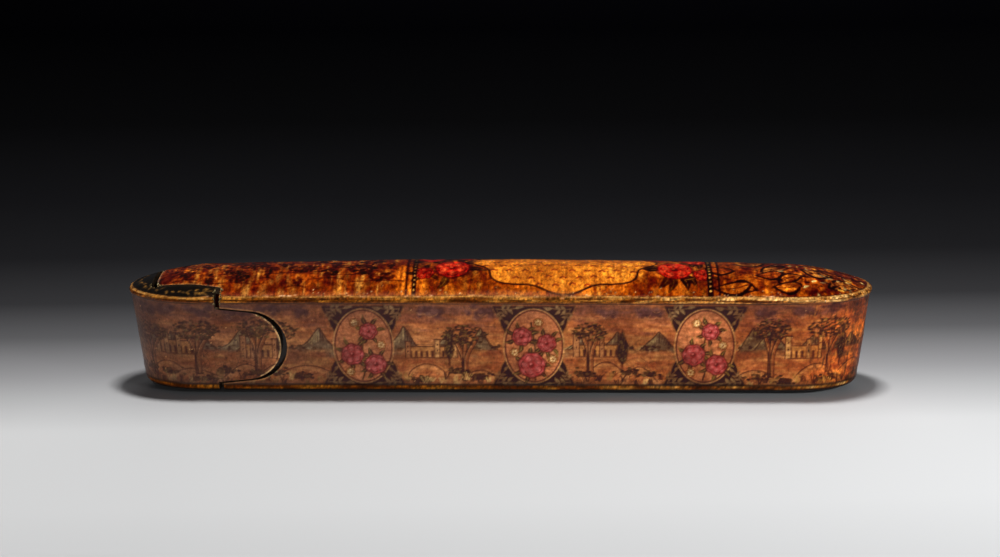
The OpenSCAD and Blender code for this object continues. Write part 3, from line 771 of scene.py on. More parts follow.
def medallion(art, rng, s, kind):
    """An oval of roses between dark corner panels with leafy sprigs."""
    z = np.linspace(PICTURE_LOW, PICTURE_HIGH, 60)
    rise = np.abs(z - MEDAL_Z) / 13
    half = 8.0 + 4.4 * rise ** 1.7 + 0.5 * np.abs(np.sin(rise * 9))
    art.shape(np.vstack([np.c_[s + half, z], np.c_[s - half, z][::-1]]), "#191512", 0.92)
    for side in (-1, 1):
        art.stroke(np.c_[s + side * half, z], 0.4, "#7d5630", 0.7)
        for z0, rises in ((3.4, 1), (27.6, -1)):
            root = np.array((s + side * 11.2, z0))
            along = math.pi / 2 * (1 + side)
            sprig(art, root, 5.6, along - side * rises * 0.1, side * rises * 0.25, "#7c6340")
            sprig(art, root, 4.4, along - side * rises * 1.25, side * rises * 0.4, "#6b5538")
    ring = np.radians(np.arange(0, 361, 6))
    oval = np.c_[np.cos(ring), np.sin(ring)]
    middle = (s, MEDAL_Z)
    art.shape(oval * MEDAL_R + middle, "#8a4d33")
    art.shape(oval * MEDAL_FIELD + middle, "#ad6a43")
    for k in range(90):
        at = oval[rng.integers(60)] * rng.uniform(0, 0.9) * MEDAL_R + middle
        art.dab(at, (1.8, 0.8), rng.choice(["#bf7d50", "#9c5a3a"]), 0.4, rng.uniform(0, 3), soft=0.9)
    art.stroke(oval * MEDAL_LINE + middle, 0.34, "#32201a", 0.9)
    art.stroke(oval * MEDAL_R + middle, 0.38, "#cb9a5c", 0.75)
    stem = [(s + kind * dx, z) for dx, z in ((0.5, 4.4), (-0.6, 9), (0.4, 14), (-0.8, 23))]
    art.stroke(curve(stem, 8), 0.5, "#2b2514", 0.95)
    for dx, z0, r in MEDAL_ROSES[kind]:
        for k in range(7):
            a = 0.9 * k + rng.uniform(-0.2, 0.2)
            root = (s + dx + 0.8 * r * math.cos(a), z0 + 0.8 * r * math.sin(a))
            shade = rng.choice(["#231f13", "#322c19", "#463e21"])
            length, width = rng.uniform(2.4, 3.4), rng.uniform(1.2, 1.6)
            leaf(art, root, length, width, a + rng.uniform(-0.3, 0.3), shade, "#8d773c")
    for dx, z0, r in MEDAL_ROSES[kind]:
        blossom(art, rng, (s + dx, z0), r)
    for dx, z0 in MEDAL_BUDS[kind]:
        blossom(art, rng, (s + dx, z0), BUD_R, BUD_GOLD, BUD_CREAM, BUD_BROWN)


CAP_L = math.pi * math.sqrt((END_L ** 2 + HALF_W ** 2) / 2)


def wall_place(points):
    """Distance along the wall from the middle of the front, and height, for points on the outside."""
    x, y, z = points.T
    a = END_L - BASE_IN_L * lean(z) - BEAD_OUT
    b = HALF_W - BASE_IN_W * lean(z) - BEAD_OUT
    turn = np.arctan2(y / b, (np.abs(x) - END_X) / a)
    cap = (turn + math.pi / 2) / math.pi * CAP_L
    side = np.where(y < 0, np.abs(x), END_X + CAP_L + END_X - np.abs(x))
    return np.sign(x) * np.where(np.abs(x) <= END_X, side, END_X + cap), z


# Old varnish tints a picture and deepens it round one tone, by channel. How worn the gilding is, with
# its painted glints, how dull the varnish, the painted shade on the rim's gilding, and the painted light
# and shade of the wall are given at distances along the wall from the middle of the front.
AMBER_VARNISH, TOP_VARNISH = np.array((0.965, 0.84, 0.54)), np.array((0.76, 0.53, 0.32))
WALL_TONE, WALL_DEPTH = np.array((0.5, 0.29, 0.11)), np.array((1.02, 1.25, 2.3))
TOP_TONE, TOP_DEPTH = np.array((0.46, 0.19, 0.045)), np.array((1.12, 2.0, 3.6))
WARM_DARKS, BROWN_DARKS = np.array((0.06, -0.015, 0.005)), np.array((0.012, 0.014, 0.003))
GILT_FROM = 29.5
BAND_LOW, BAND_HIGH = 0.9, 2.1
LEAF_FLECKS = 1.5
RUBBED_END, RUBBED_REACH, RUBBED_FADE = 126, 36, 24
RUBBED_TINT, RUBBED_GRAIN = np.array((1.0, 0.8, 0.46)), 1.15
AGED_Z, SCRATCHED = (3, 28), (94, 152)
HAZE_FROM, HAZE_TO = -150, -104
WALL_PAINTED_SHADING_AT = [-300, -150, -126, -96, -60, 0, 60, 85, 95, 103, 109, 112, 120, 140, 200]
WALL_PAINTED_SHADING = [0.95, 0.82, 0.74, 0.76, 0.91, 0.98, 0.98, 0.99, 1.03, 1.12, 1.04, 0.86, 0.84, 0.92, 0.97]
DULLED_AT = [-300, -130, -70, 0, 60, 100, 300]
DULLED = [0.2, 0.46, 0.38, 0.16, 0.06, 0.0, 0.15]
# Rubbing of the gilding, which also paints its highlights and glints, at the foot band and at the rim.
FOOT_GLINT_AND_RUB_AT = [-60, 20, 60, 110, 130]
FOOT_GLINT_AND_RUB = [0.0, 0.1, 0.45, 0.45, 0.2]
RIM_GLINT_AND_RUB_AT = [-160, -119, -114, -110, -105, -60, 0, 40, 60, 80, 104, 110, 116, 124, 200]
RIM_GLINT_AND_RUB = [0.1, 0.08, 0.6, 0.6, 0.1, 0.05, 0.1, 0.2, 0.35, 0.65, 1.0, 0.85, 0.45, 0.2, 0.1]
RIM_PAINTED_SHADE_AT = [-110, -90, -20, 60]
RIM_PAINTED_SHADE = [0, 0.26, 0.24, 0]


def band(value, middle, reach):
    """1 at the middle, falling to 0 within reach on both sides."""
    return np.clip(1 - np.abs(value - middle) / reach, 0, 1)


def deepen(art, varnish, tone, depth):
    """Tints the picture as old varnish does, and deepens it round its main tone."""
    art.rgb = np.clip(tone + depth * (art.rgb * varnish - tone), 0, 1)


def gild(art, above, below, worn, glint_and_rub):
    """Gold leaf where both distances are positive, worn to brown bole, and paled by the last mask, which
    paints both rubbed gesso and highlights of light on the gold.
    """
    inside = np.clip(above / 0.2, 0, 1) * np.clip(below / 0.2, 0, 1)
    art.wash(inside, "#461d03")
    art.wash(inside * np.clip(worn * 6 - 2.3, 0, 1), "#723c0a", gilt=0.2)
    art.wash(inside * np.clip(worn * 8 - 4.6, 0, 1), "#a2611a", gilt=0.4)
    # The paler washes are partly rubbed gesso and partly a painted highlight of light glinting on the gold.
    art.wash(inside * np.clip(glint_and_rub * (worn * 5 - 1.7), 0, 1), "#b87a38", 0.9, gilt=0.1)
    art.wash(inside * np.clip(glint_and_rub * (worn * 8 - 4.4), 0, 1), "#d2a363", 0.9, gilt=0.1)
    art.gloss += (np.clip(0.1 + glint_and_rub, 0, 1) - art.gloss) * inside
    art.rgb *= 1 + (inside * LEAF_FLECKS * (grain(art.p, art.q, (0.55, 0.35), 77) - 0.55))[:, None]


def rub_right_end(art, rng, seed):
    """The right end, where handling has left the paint warmer, rougher and scratched."""
    warm = np.clip((np.abs(art.p - RUBBED_END) - RUBBED_REACH) / -RUBBED_FADE, 0, 1)
    rough = grain(art.p, art.q, (2.0, 3.2), seed + 9)
    art.rgb *= 1 + warm[:, None] * (RUBBED_TINT * (1 + RUBBED_GRAIN * (rough - 0.5))[:, None] - 1)
    art.grit += 0.45 * warm
    art.gloss *= 0.5 - 0.3 * warm
    for k in range(300):
        at = np.array((rng.uniform(*SCRATCHED), rng.uniform(*AGED_Z)))
        way = np.array((rng.uniform(-0.4, 0.4), rng.uniform(0.3, 1.6)))
        width, shade = rng.uniform(0.25, 0.6), rng.choice(["#2e1509", "#4a220c", "#b06a26"])
        art.stroke([at - way, at + way], width, shade, 0.45)


def dull_walls(art, rng, seed):
    """Painted light and shade along the walls, varnish gone dull in patches, haze over the left end, and
    specks.
    """
    # Painted shading: darker towards the left end and round the right end cap, with a painted highlight just
    # where the right end starts to turn.
    art.rgb *= np.interp(art.p, WALL_PAINTED_SHADING_AT, WALL_PAINTED_SHADING)[:, None]
    patches = 0.5 + 0.9 * grain(art.p, art.q, (7, 4), seed + 4)
    art.wash(np.interp(art.p, DULLED_AT, DULLED) * patches, "#402e2d")
    haze = np.clip((HAZE_TO - art.p) / 10, 0, 1) * np.clip((art.p - HAZE_FROM) / 20, 0, 1)
    art.wash(haze, "#5e4a47", 0.4)
    for k in range(120):
        at = (rng.uniform(art.p[0], art.p[-1]), rng.uniform(*AGED_Z))
        size = (rng.uniform(0.2, 0.4), rng.uniform(0.2, 0.3))
        art.dab(at, size, rng.choice(["#a87a4c", "#1a100b", "#120a07"]), 0.4)


def gild_walls(art, seed):
    """The gilt band at the foot with a dark line over it, the gilt rim bead, and painted shade on the foot
    below the band.
    """
    worn = grain(art.p, art.q, (5.5, 0.6), seed + 5)
    # The foot band's rubbing mask also paints its highlights.
    foot_glint_and_rub = np.interp(art.p, FOOT_GLINT_AND_RUB_AT, FOOT_GLINT_AND_RUB)
    gild(art, art.q - BAND_LOW, BAND_HIGH + 0.5 * worn - art.q, worn - 0.05, foot_glint_and_rub)
    art.wash(band(art.q, BAND_HIGH + 0.6, 0.4), "#190e08", 0.8)
    # The rim's rubbing mask also paints its glints: bright at the right end and at the left tip.
    gild(art, art.q - GILT_FROM, np.ones(len(art.q)), worn, np.interp(art.p, RIM_GLINT_AND_RUB_AT, RIM_GLINT_AND_RUB))
    # Painted shade: the rim's gilding is darkened from near the left tip to the middle of the front.
    rim_shade = np.clip(art.q - GILT_FROM, 0, 1) * np.interp(art.p, RIM_PAINTED_SHADE_AT, RIM_PAINTED_SHADE)
    art.rgb *= 1 - rim_shade[:, None]
    art.wash(band(art.q, GILT_FROM - 0.25, 0.35) * np.clip(1.6 * worn, 0, 1), "#150c07", 0.8)
    # Painted shadow: the rounded foot below the band is painted near black, as the shade under the base.
    art.wash((art.q < BAND_LOW) * 1.0, "#0a0705", 0.95)


def paint_walls(points, seed, medals, lands):
    """The picture round the walls, with its age and its gilding."""
    rng = np.random.default_rng(seed)
    art = Painting(*wall_place(points), "#9a5a33")
    art.mottle((9, 5), seed + 1, 0.15)
    for s0, s1 in lands:
        country(art, rng, s0, s1)
    for k, at in enumerate(medals):
        medallion(art, rng, at, 1 if k % 2 else -1)
    art.mottle((4.5, 0.6), seed + 2, 0.1)
    art.mottle((1.1, 0.9), seed + 3, 0.16)
    art.mottle((13, 8), seed + 6, 0.2)
    deepen(art, AMBER_VARNISH, WALL_TONE, WALL_DEPTH)
    art.rgb += np.clip(1 - 2.4 * art.rgb.mean(1), 0, 1)[:, None] * WARM_DARKS
    art.wash(np.clip((5 - art.q) / 2.6, 0, 1), "#26140c", 0.55)
    art.wash(np.clip((art.q - 23) / 6, 0, 1), "#3a261f", 0.3)
    rub_right_end(art, rng, seed)
    dull_walls(art, rng, seed)
    gild_walls(art, seed)
    return art


# The top, from its left to its right: bushes on streaked amber, a yellow field with lobes between two
# sprays of roses and two dotted bars, and long leaves.
BUSHES, BUSHES_FROM, BUSHES_RUN, BUSHES_END = 32, -99, 67, -31
BUSHES_BACK, BUSHES_DEPTH, GOLDEN_STEP = 13, 28, 0.618
BUSH_SHADES = ["#2a1306", "#1b0c04", "#41200a", "#5c3410"]
FIELD_X, FIELD_HALF, FIELD_LOBES, LOBE_DEPTH = 20, (27, 15.6), 8, 0.07
SOWN_HALF, MARK_STEP, MARK_ROW, MARK_SHIFT = (26, 15.0), 4.7, 3.3, 2.3
ROSE_SPRAYS = ((-14, -1), (54, 1))
TOP_BARS, BAR_DOTS = ((64.5, 1.8), (67.2, 0.6), (-25.5, 1.4), (-27.8, 0.6)), np.arange(-15.2, 15.3, 1.9)
LONG_LEAVES, LONG_LEAF_FROM, LONG_LEAF_STEP, LONG_LEAF_ROWS = 15, 70, 2.5, (-12.5, -4, 5)
LITTER_X, LITTER_Y = (84, 112), (-15, 15)
TOP_EDGE, DULL_EDGE_AT, DULL_EDGE = 0.94, [-95, -80, -60, 20, 40], [0, 0.6, 1, 1, 0]
BAR_BROWN, LEAF_BROWN, TWIG_BROWN = "#1f1008", "#2a1507", "#2e1607"
TOP_ROSE = ("#af2d15", "#d2632f", "#56150c")


def amber_ground(art, rng):
    """Streaks of amber over the whole top, browner and with paler streaks at the left."""
    for k in range(900):
        spot = (rng.uniform(-112, 112), rng.uniform(-18, 18))
        shade = rng.choice(["#c87a22", "#a85a16", "#7a3a10", "#5f2a0c", "#dc9a38"])
        size = (rng.uniform(0.5, 1.8), rng.uniform(2, 6))
        art.dab(spot, size, shade, 0.45, rng.uniform(-0.15, 0.15), soft=0.9)
    art.wash(np.clip((-30 - art.p) / 6, 0, 1), "#733a12", 0.55)
    for k in range(260):
        spot = (rng.uniform(-100, BUSHES_END), rng.uniform(-16.5, 16))
        size = (rng.uniform(0.3, 1.3), rng.uniform(2, 5))
        art.dab(spot, size, rng.choice(["#dfa349", "#c68634"]), 0.55, soft=0.9)


def bush(art, rng, k):
    """One of the bushes that are strewn over the left of the top, on a stroke of ground."""
    cx = BUSHES_FROM + BUSHES_RUN * (GOLDEN_STEP * k % 1) + rng.uniform(-2, 2)
    foot = BUSHES_BACK - BUSHES_DEPTH * k / BUSHES + rng.uniform(-1, 1)
    wide, tall = rng.choice([1.3, 2.4, 4.0]) * rng.uniform(0.8, 1.2), rng.uniform(1.5, 3.2)
    cy = foot + tall + rng.uniform(0, 1)
    ground = [(cx - 2.2 * wide, foot - 0.5), (cx, foot), (cx + 1.8 * wide, foot - rng.uniform(0, 1.2))]
    art.stroke(curve(ground), 0.45, TWIG_BROWN, 0.6)
    art.stroke([(cx, foot), (cx + rng.uniform(-0.6, 0.6), cy)], 0.8, TWIG_BROWN, 0.85)
    for j in range(int(8 * wide * tall)):
        a, d = rng.uniform(0, ALL_ROUND), math.sqrt(rng.uniform(0, 1))
        spot = (cx + wide * d * math.cos(a), cy + tall * d * math.sin(a) + 0.5 * math.sin(cx + 3 * d))
        shade = rng.choice(BUSH_SHADES)
        size = (rng.uniform(0.4, 0.8), rng.uniform(0.5, 1.2))
        art.dab(spot, size, shade, 0.75, rng.uniform(0, 3), soft=0.6)
    for j in range(int(3 * wide)):
        spot = (cx + rng.normal(-0.3, 0.45) * wide, cy + rng.uniform(-0.2, 0.7) * tall)
        art.dab(spot, (0.3, 0.45), rng.choice(["#7d4c19", "#9c6426"]), 0.7, rng.uniform(0, 3))


def yellow_field(art, rng):
    """A yellow field with a lobed edge, sown with small dark marks."""
    t = np.radians(np.arange(0, 361, 5))
    lobes = 1 + LOBE_DEPTH * np.cos(FIELD_LOBES * t)
    outline = np.c_[FIELD_X + FIELD_HALF[0] * np.cos(t) * lobes, FIELD_HALF[1] * np.sin(t) * lobes]
    art.shape(outline, "#d58228", 0.95, soft=0.5)
    for k in range(260):
        a, d = rng.uniform(0, ALL_ROUND), math.sqrt(rng.uniform(0, 0.85))
        spot = (FIELD_X + SOWN_HALF[0] * d * math.cos(a), SOWN_HALF[1] * d * math.sin(a))
        size = (rng.uniform(0.5, 1.2), rng.uniform(2, 5))
        art.dab(spot, size, rng.choice(["#df963a", "#c57524"]), 0.45, soft=0.9)
    for row in range(-4, 5):
        for step in range(12):
            x = FIELD_X + MARK_STEP * (step - 5.5) + MARK_SHIFT * (row % 2) + rng.uniform(-0.5, 0.5)
            y = MARK_ROW * row + rng.uniform(-0.5, 0.5)
            if math.hypot((x - FIELD_X) / SOWN_HALF[0], y / SOWN_HALF[1]) < 0.95:
                mark = [(x - 0.8, y - 0.3), (x - 0.1, y + 0.3), (x + 0.8, y - 0.2)]
                art.stroke(mark, 0.65, "#4c0a03", 0.95)
    art.stroke(outline, 0.7, INK, 0.9)


def rose_spray(art, rng, cx, side):
    """Four roses over dark leaves, turned to the left or the right by side."""
    spray = [(5.4, 0, -5.2), (4.4, side * 6.8, 4.6), (3.4, -side * 4.2, 6.6), (3.0, side * 8.6, -7.8)]
    for r, dx, dy in spray:
        for k in range(6):
            a = rng.uniform(0, ALL_ROUND)
            root = (cx + dx + r * 0.7 * math.cos(a), dy + r * 0.7 * math.sin(a))
            leaf(art, root, r * 1.3, r * 0.5, a, rng.choice(["#241a0b", "#35290f", "#4b3814"]), "#8b6420")
    for r, dx, dy in spray:
        blossom(art, rng, (cx + dx, dy), r, *TOP_ROSE)


def long_leaf(art, rng, k):
    """A long leaf with a broad dark edge, and a few brush marks about it."""
    cx, cy = LONG_LEAF_FROM + LONG_LEAF_STEP * k, LONG_LEAF_ROWS[k % 3] + rng.uniform(-1.5, 1.5)
    turn, length = rng.uniform(-0.5, 0.5) + math.pi * (k % 2), rng.uniform(9, 13)
    leaf(art, (cx, cy), length, 6.2, turn, INK)
    inner = (cx + 0.9 * math.cos(turn), cy + 0.9 * math.sin(turn))
    leaf(art, inner, length - 1.8, 4.2, turn, rng.choice(["#b96a1f", "#a3571a", "#c67f30"]), LEAF_BROWN)
    for j in range(5):
        x, y = cx + rng.uniform(-6, 6), cy + rng.uniform(-5, 5)
        art.stroke([(x, y), (x + rng.uniform(0.6, 2.6), y + rng.uniform(-0.8, 0.8))], 0.4, LEAF_BROWN, 0.6)


def age_top(art, rng, seed):
    """Litter of small leaves at the right, pale flecks along the edges painted as glints, and the varnish
    over it all.
    """
    for k in range(110):
        spot = (rng.uniform(*LITTER_X), rng.uniform(*LITTER_Y))
        shade = rng.choice(["#b98530", "#33200c", "#7a4a16", "#d7b262", "#20140a"])
        leaf(art, spot, rng.uniform(1.4, 2.8), 0.9, rng.uniform(0, ALL_ROUND), shade)
    # Painted glints: pale flecks along the front and back edges, where light catches the lacquer.
    for k in range(130):
        spot = (rng.uniform(-110, 110), rng.choice((-1, 1)) * (17 - abs(rng.normal(0, 1.4))))
        art.dab(spot, (rng.uniform(0.2, 0.4), rng.uniform(0.2, 0.35)), "#e2b873", 0.5)
    art.rgb *= (0.76 + 0.48 * drift(art.p, art.q, (0.8, 9), seed + 2))[:, None]
    art.mottle((0.9, 0.9), seed + 3, 0.22)
    art.mottle((5, 4), seed + 9, 0.24)
    worn_end = np.clip((art.p - 74) / 14, 0, 1) + np.clip((-84 - art.p) / 10, 0, 1)
    art.rgb *= (1 + worn_end * 1.5 * (grain(art.p, art.q, (1.6, 1.6), seed + 10) - 0.56))[:, None]
    deepen(art, TOP_VARNISH, TOP_TONE, TOP_DEPTH)
    brown = np.clip((-28 - art.p) / 4, 0, 1) * np.clip(1 - 2.2 * art.rgb.mean(1), 0, 1)
    art.rgb += brown[:, None] * BROWN_DARKS
    u, v = (art.p - FIELD_X) / FIELD_HALF[0], art.q / FIELD_HALF[1]
    reach = np.hypot(u, v) / (1 + LOBE_DEPTH * np.cos(FIELD_LOBES * np.arctan2(v, u)))
    art.wash(np.clip((1 - reach) / 0.03, 0, 1), "#cc6c16", 0.4)


def rim_share(x, y):
    """How far out to the rim a point lies, from 0 along the middle to 1 on the rim."""
    return np.hypot(np.maximum(np.abs(x) - END_X, 0) / END_L, y / HALF_W)


def border_top(art, seed, edge):
    """A dark line, a dull strip, flecks and gold leaf along the edge of the top, up to the rim bead, with a
    painted highlight along the bead's crest.
    """
    rng = np.random.default_rng(seed + 8)
    share = rim_share(art.p, art.q)
    worn = grain(art.p, art.q, (5.5, 0.6), seed + 7)
    art.wash(band(share, edge - 0.012, 0.014), "#2a1408", 0.6)
    dull = np.clip((share - edge + 0.11) / 0.08, 0, 1)
    dull *= np.interp(art.p, DULL_EDGE_AT, DULL_EDGE)
    art.wash(dull * (0.5 + grain(art.p, art.q, (2.5, 0.5), seed + 11)), "#b9774a", 0.36)
    # On the front, the rubbing mask also paints the rim's glints.
    glint_and_rub = np.where(art.q < 0, np.interp(art.p, RIM_GLINT_AND_RUB_AT, RIM_GLINT_AND_RUB), 0.2)
    gild(art, (share - edge) * HALF_W, np.ones(len(share)), worn, glint_and_rub)
    # Painted highlight: a pale line along the crest of the rim bead, broken in patches.
    crest = np.clip(2.2 * grain(art.p, art.q, (0.9, 0.4), seed + 12) - 0.3, 0, 1)
    art.wash(band(share, edge + 0.014, 0.022) * crest, "#c8924c", 0.8)
    # Flecks along the edge: specks of wear and painted glints of light on the lacquer.
    for k in range(360):
        spot = (rng.uniform(-END_X, END_X), rng.choice((-1, 1)) * HALF_W * (edge + rng.normal(-0.006, 0.012)))
        shade = rng.choice(["#b07a4e", "#98602f", "#cf9f74"], p=[0.45, 0.4, 0.15])
        art.dab(spot, (rng.uniform(0.3, 1.5), rng.uniform(0.15, 0.28)), shade, rng.uniform(0.1, 0.45))


def paint_top(points, seed):
    """The picture on the top, from its ground up to the varnish and the gilt edge."""
    rng = np.random.default_rng(seed)
    art = Painting(points[:, 0], points[:, 1], "#a35a19", 0.9)
    art.mottle((14, 9), seed + 1, 0.25)
    amber_ground(art, rng)
    for k in range(BUSHES):
        bush(art, rng, k)
    yellow_field(art, rng)
    for x, side in ROSE_SPRAYS:
        rose_spray(art, rng, x, side)
    for k in range(LONG_LEAVES):
        long_leaf(art, rng, k)
    for x, wide in TOP_BARS:
        art.stroke([(x, -19), (x, 19)], wide, BAR_BROWN, 0.9)
        if wide > 1:
            for y in BAR_DOTS:
                art.dab((x, y), (0.4, 0.55), "#b8863a", 0.9)
    age_top(art, rng, seed)
    border_top(art, seed, TOP_EDGE)
    return art


BASE_SPRIGS, BASE_SEED = np.arange(-92, 89, 7), 31


def paint_base(points):
    """The underside: near-black lacquer with plain gilt sprigs along the middle."""
    art = Painting(points[:, 0], points[:, 1], "#1d1410")
    for k, x in enumerate(BASE_SPRIGS):
        for side in (-1, 1):
            sprig(art, np.array((x, 0.0)), 7.0, side * (0.5 + 0.3 * (k % 2)), -side * 0.8, "#6e5022")
    art.mottle((6, 4), BASE_SEED, 0.3)
    return art


def picture(piece, layers):
    """Puts paintings on the mesh's points as colour, with gilding, gloss and grit beside it."""
    mesh = piece.data
    points = np.empty(len(mesh.vertices) * 3)
    mesh.vertices.foreach_get("co", points)
    points = points.reshape(-1, 3) / MM
    colour = np.ones((len(points), 4))
    finish = np.zeros((len(points), 4))
    for mask, make in layers(points):
        colour[mask, :3], finish[mask, :3] = make(points[mask]).colours()
    for name, values in (("paint", colour), ("finish", finish)):
        layer = mesh.color_attributes.new(name, "FLOAT_COLOR", "POINT")
        layer.data.foreach_set("color", values.ravel())


def outside_layers(walls, top):
    """Which points of a shell get the walls' painting, the top's and the base's."""
    def layers(points):
        x, y, z = points.T
        on_top = (z > RIM_H - 0.2) & (rim_share(x, y) < 0.985)
        under = z < 0.25
        return [(~on_top & ~under, walls), (on_top, top), (under, paint_base)]

    return layers


# Many coats of amber varnish lie over the painting. They have crazed, gathered dust and gone dull in
# patches, and the gilding below them is rubbed.
def new_group(name, inputs, outputs):
    """A node group whose inputs are numbers or vectors, and whose outputs are numbers."""
    tree = bpy.data.node_groups.new(name, "ShaderNodeTree")
    for label, value in inputs.items():
        kind = "NodeSocketVector" if isinstance(value, tuple) else "NodeSocketFloat"
        tree.interface.new_socket(label, in_out="INPUT", socket_type=kind).default_value = value
    for label in outputs:
        tree.interface.new_socket(label, in_out="OUTPUT", socket_type="NodeSocketFloat")
    return tree, tree.nodes.new("NodeGroupInput"), tree.nodes.new("NodeGroupOutput")


def mix_node(tree, share, first, second, kind="MIX"):
    inputs = {0: share, 6: first, 7: second}
    return add_node(tree, "Mix", inputs, data_type="RGBA", blend_type=kind).outputs[2]


crazing, entry, leave = new_group("crazing", {"Scale": 300.0, "Width": 0.04},
                                  ("Cracks", "Patches", "Height", "Speckle"))
where = add_node(crazing, "TexCoord").outputs["Object"]
wander = add_node(crazing, "TexNoise", {"Vector": where, "Scale": 160}).outputs["Color"]
bend = add_node(crazing, "VectorMath", {0: wander, 1: (0.003, 0.003, 0.003), 2: where},
                operation="MULTIPLY_ADD")
cells = add_node(crazing, "TexVoronoi", {"Vector": bend.outputs[0], "Scale": entry.outputs["Scale"]},
                 feature="DISTANCE_TO_EDGE")
edge = carry(crazing, cells.outputs["Distance"], (0, entry.outputs["Width"]), (1, 0))
patches = add_node(crazing, "TexNoise", {"Vector": where, "Scale": 55, "Detail": 5}).outputs["Fac"]
cracks = sum_node(crazing, "MULTIPLY", edge, carry(crazing, patches, (0.45, 0.65)))
dust = add_node(crazing, "TexNoise", {"Vector": where, "Scale": 900, "Detail": 3}).outputs["Fac"]
brush = add_node(crazing, "Mapping", {"Vector": where, "Scale": (1.4, 0.6, 1.0)}).outputs["Vector"]
fine = add_node(crazing, "TexNoise", {"Vector": brush, "Scale": 1100, "Detail": 5, "Roughness": 0.65})
wire(crazing, leave, {
    "Cracks": cracks,
    "Patches": patches,
    "Height": sum_node(crazing, "MULTIPLY_ADD", cracks, -0.6, dust),
    "Speckle": carry(crazing, fine.outputs["Fac"], (0.3, 0.7), (-0.75, 0.75)),
})


def lacquer(name, crack_scale):
    """Painted gesso under old varnish, from the mesh's own colours."""
    material, tree, shader = new_material(name)
    art = add_node(tree, "VertexColor", layer_name="paint").outputs["Color"]
    marks = add_node(tree, "VertexColor", layer_name="finish").outputs["Color"]
    gilt, gloss, grit = add_node(tree, "SeparateColor", {"Color": marks}).outputs
    age = add_node(tree, "Group", {"Scale": crack_scale, "Width": 0.035}, node_tree=crazing)
    dirt = mix_node(tree, sum_node(tree, "MULTIPLY", age.outputs["Cracks"], 0.45), art, "#20130c")
    gritty = sum_node(tree, "MULTIPLY_ADD", age.outputs["Speckle"], grit, 1.0)
    grey = add_node(tree, "CombineColor", {0: gritty, 1: gritty, 2: gritty}).outputs["Color"]
    relief = add_node(tree, "Bump", {"Strength": 0.35, "Distance": 0.0003, "Height": age.outputs["Height"]})
    wire(tree, shader, {
        "Base Color": mix_node(tree, 1.0, dirt, grey, "MULTIPLY"),
        "Metallic": sum_node(tree, "MULTIPLY", gilt, 0.8),
        "Roughness": carry(tree, age.outputs["Patches"], (0.35, 0.7), (0.3, 0.5)),
        "Specular IOR Level": 0.08,
        "Coat Weight": sum_node(tree, "MULTIPLY", gloss, 0.45),
        "Coat Roughness": 0.1,
        "Normal": relief.outputs["Normal"],
    })
    return material


fibres, entry, leave = new_group("fibres", {"Scale": 200.0, "Stretch": (1.0, 1.0, 1.0)}, ("Fibres",))
where = add_node(fibres, "TexCoord").outputs["Object"]
drawn = add_node(fibres, "VectorMath", {0: where, 1: entry.outputs["Stretch"]}, operation="MULTIPLY")
strand = add_node(fibres, "TexNoise", {"Vector": drawn.outputs[0], "Scale": entry.outputs["Scale"],
                                       "Detail": 6, "Distortion": 0.4})
wire(fibres, leave, {"Fibres": strand.outputs["Fac"]})


def plain(name, shades, scale, stretch, roughness, bump, metallic=0.0, coat=0.0):
    """A material of one substance: its fibres or grain in a few of its own colours."""
    material, tree, shader = new_material(name)
    stuff = add_node(tree, "Group", {"Scale": scale, "Stretch": stretch}, node_tree=fibres)
    strands = stuff.outputs["Fibres"]
    relief = add_node(tree, "Bump", {"Strength": bump, "Distance": 0.0002, "Height": strands})
    wire(tree, shader, {
        "Base Color": ramp(tree, strands, shades),
        "Roughness": carry(tree, strands, (0.3, 0.7), roughness),
        "Metallic": metallic,
        "Coat Weight": coat,
        "Normal": relief.outputs["Normal"],
    })
    return material


EVEN = (1, 1, 1)
painted = lacquer("painted_lacquer", 330)
raw_edge = plain("sawn_edge", [(0.3, "#18100b"), (0.55, "#372a1f"), (0.8, "#6b5a42")],
                 900, EVEN, (0.6, 0.9), 0.5)
lining = plain("dark_lining", [(0.3, "#1c0d08"), (0.7, "#35190f")], 220, EVEN, (0.45, 0.65), 0.2)
gesso = plain("broken_gesso", [(0.3, "#40351f"), (0.55, "#7d6c48"), (0.8, "#b3a37a")],
              900, EVEN, (0.7, 0.95), 0.6)


FLAKED_Y, FLAKED_TONGUE = (14.7, 15.6, 16.5, 17.3, 18.0), [3, 14, 24, 36, 44]


def lip_flakes(grow, shift, seed):
    """Lumps along the joint line, front and back, as a tool that breaks flakes out of its lips."""
    rng = np.random.default_rng(seed)
    spots = []
    for side in (-1, 1):
        for x, z in lobe_line(grow, shift)[rng.integers(4, 46, 3)]:
            spots.append((x, side * (HALF_W - BASE_IN_W * lean(z) - BEAD_OUT), z, 0.4))
        for y in FLAKED_Y:
            at = SHOULDER_X + shift + rng.uniform(-0.3, 0.3)
            spots.append((at, side * y, top_z(SHOULDER_X, y / HALF_W), rng.uniform(0.5, 1.0)))
        spots.append((SHOULDER_X + shift, side * 18.2, RIM_H - 1.6, 0.5))
    for x, y in tongue_line(TOP_TONGUE, -grow, shift)[FLAKED_TONGUE]:
        spots.append((x, y, top_z(x, rim_share(x, y)), rng.uniform(0.4, 0.7)))
    lumps = bmesh.new()
    for x, y, z, size in spots:
        made = bmesh.ops.create_icosphere(lumps, subdivisions=3, radius=1)
        u, w = rng.uniform(0, ALL_ROUND, 2)
        for v in made["verts"]:
            crag = 1 + 0.3 * math.sin(4 * v.co.x + u) * math.cos(5 * v.co.y + w)
            crag += 0.14 * math.sin(9 * v.co.z + u + w)
            v.co = v.co * size * crag + Vector((x, y, z))
    points = [v.co[:] for v in lumps.verts]
    faces = [[v.index for v in f.verts] for f in lumps.faces]
    lumps.free()
    piece = new_piece("flakes", points, faces)
    piece.data.materials.append(gesso)
    return piece


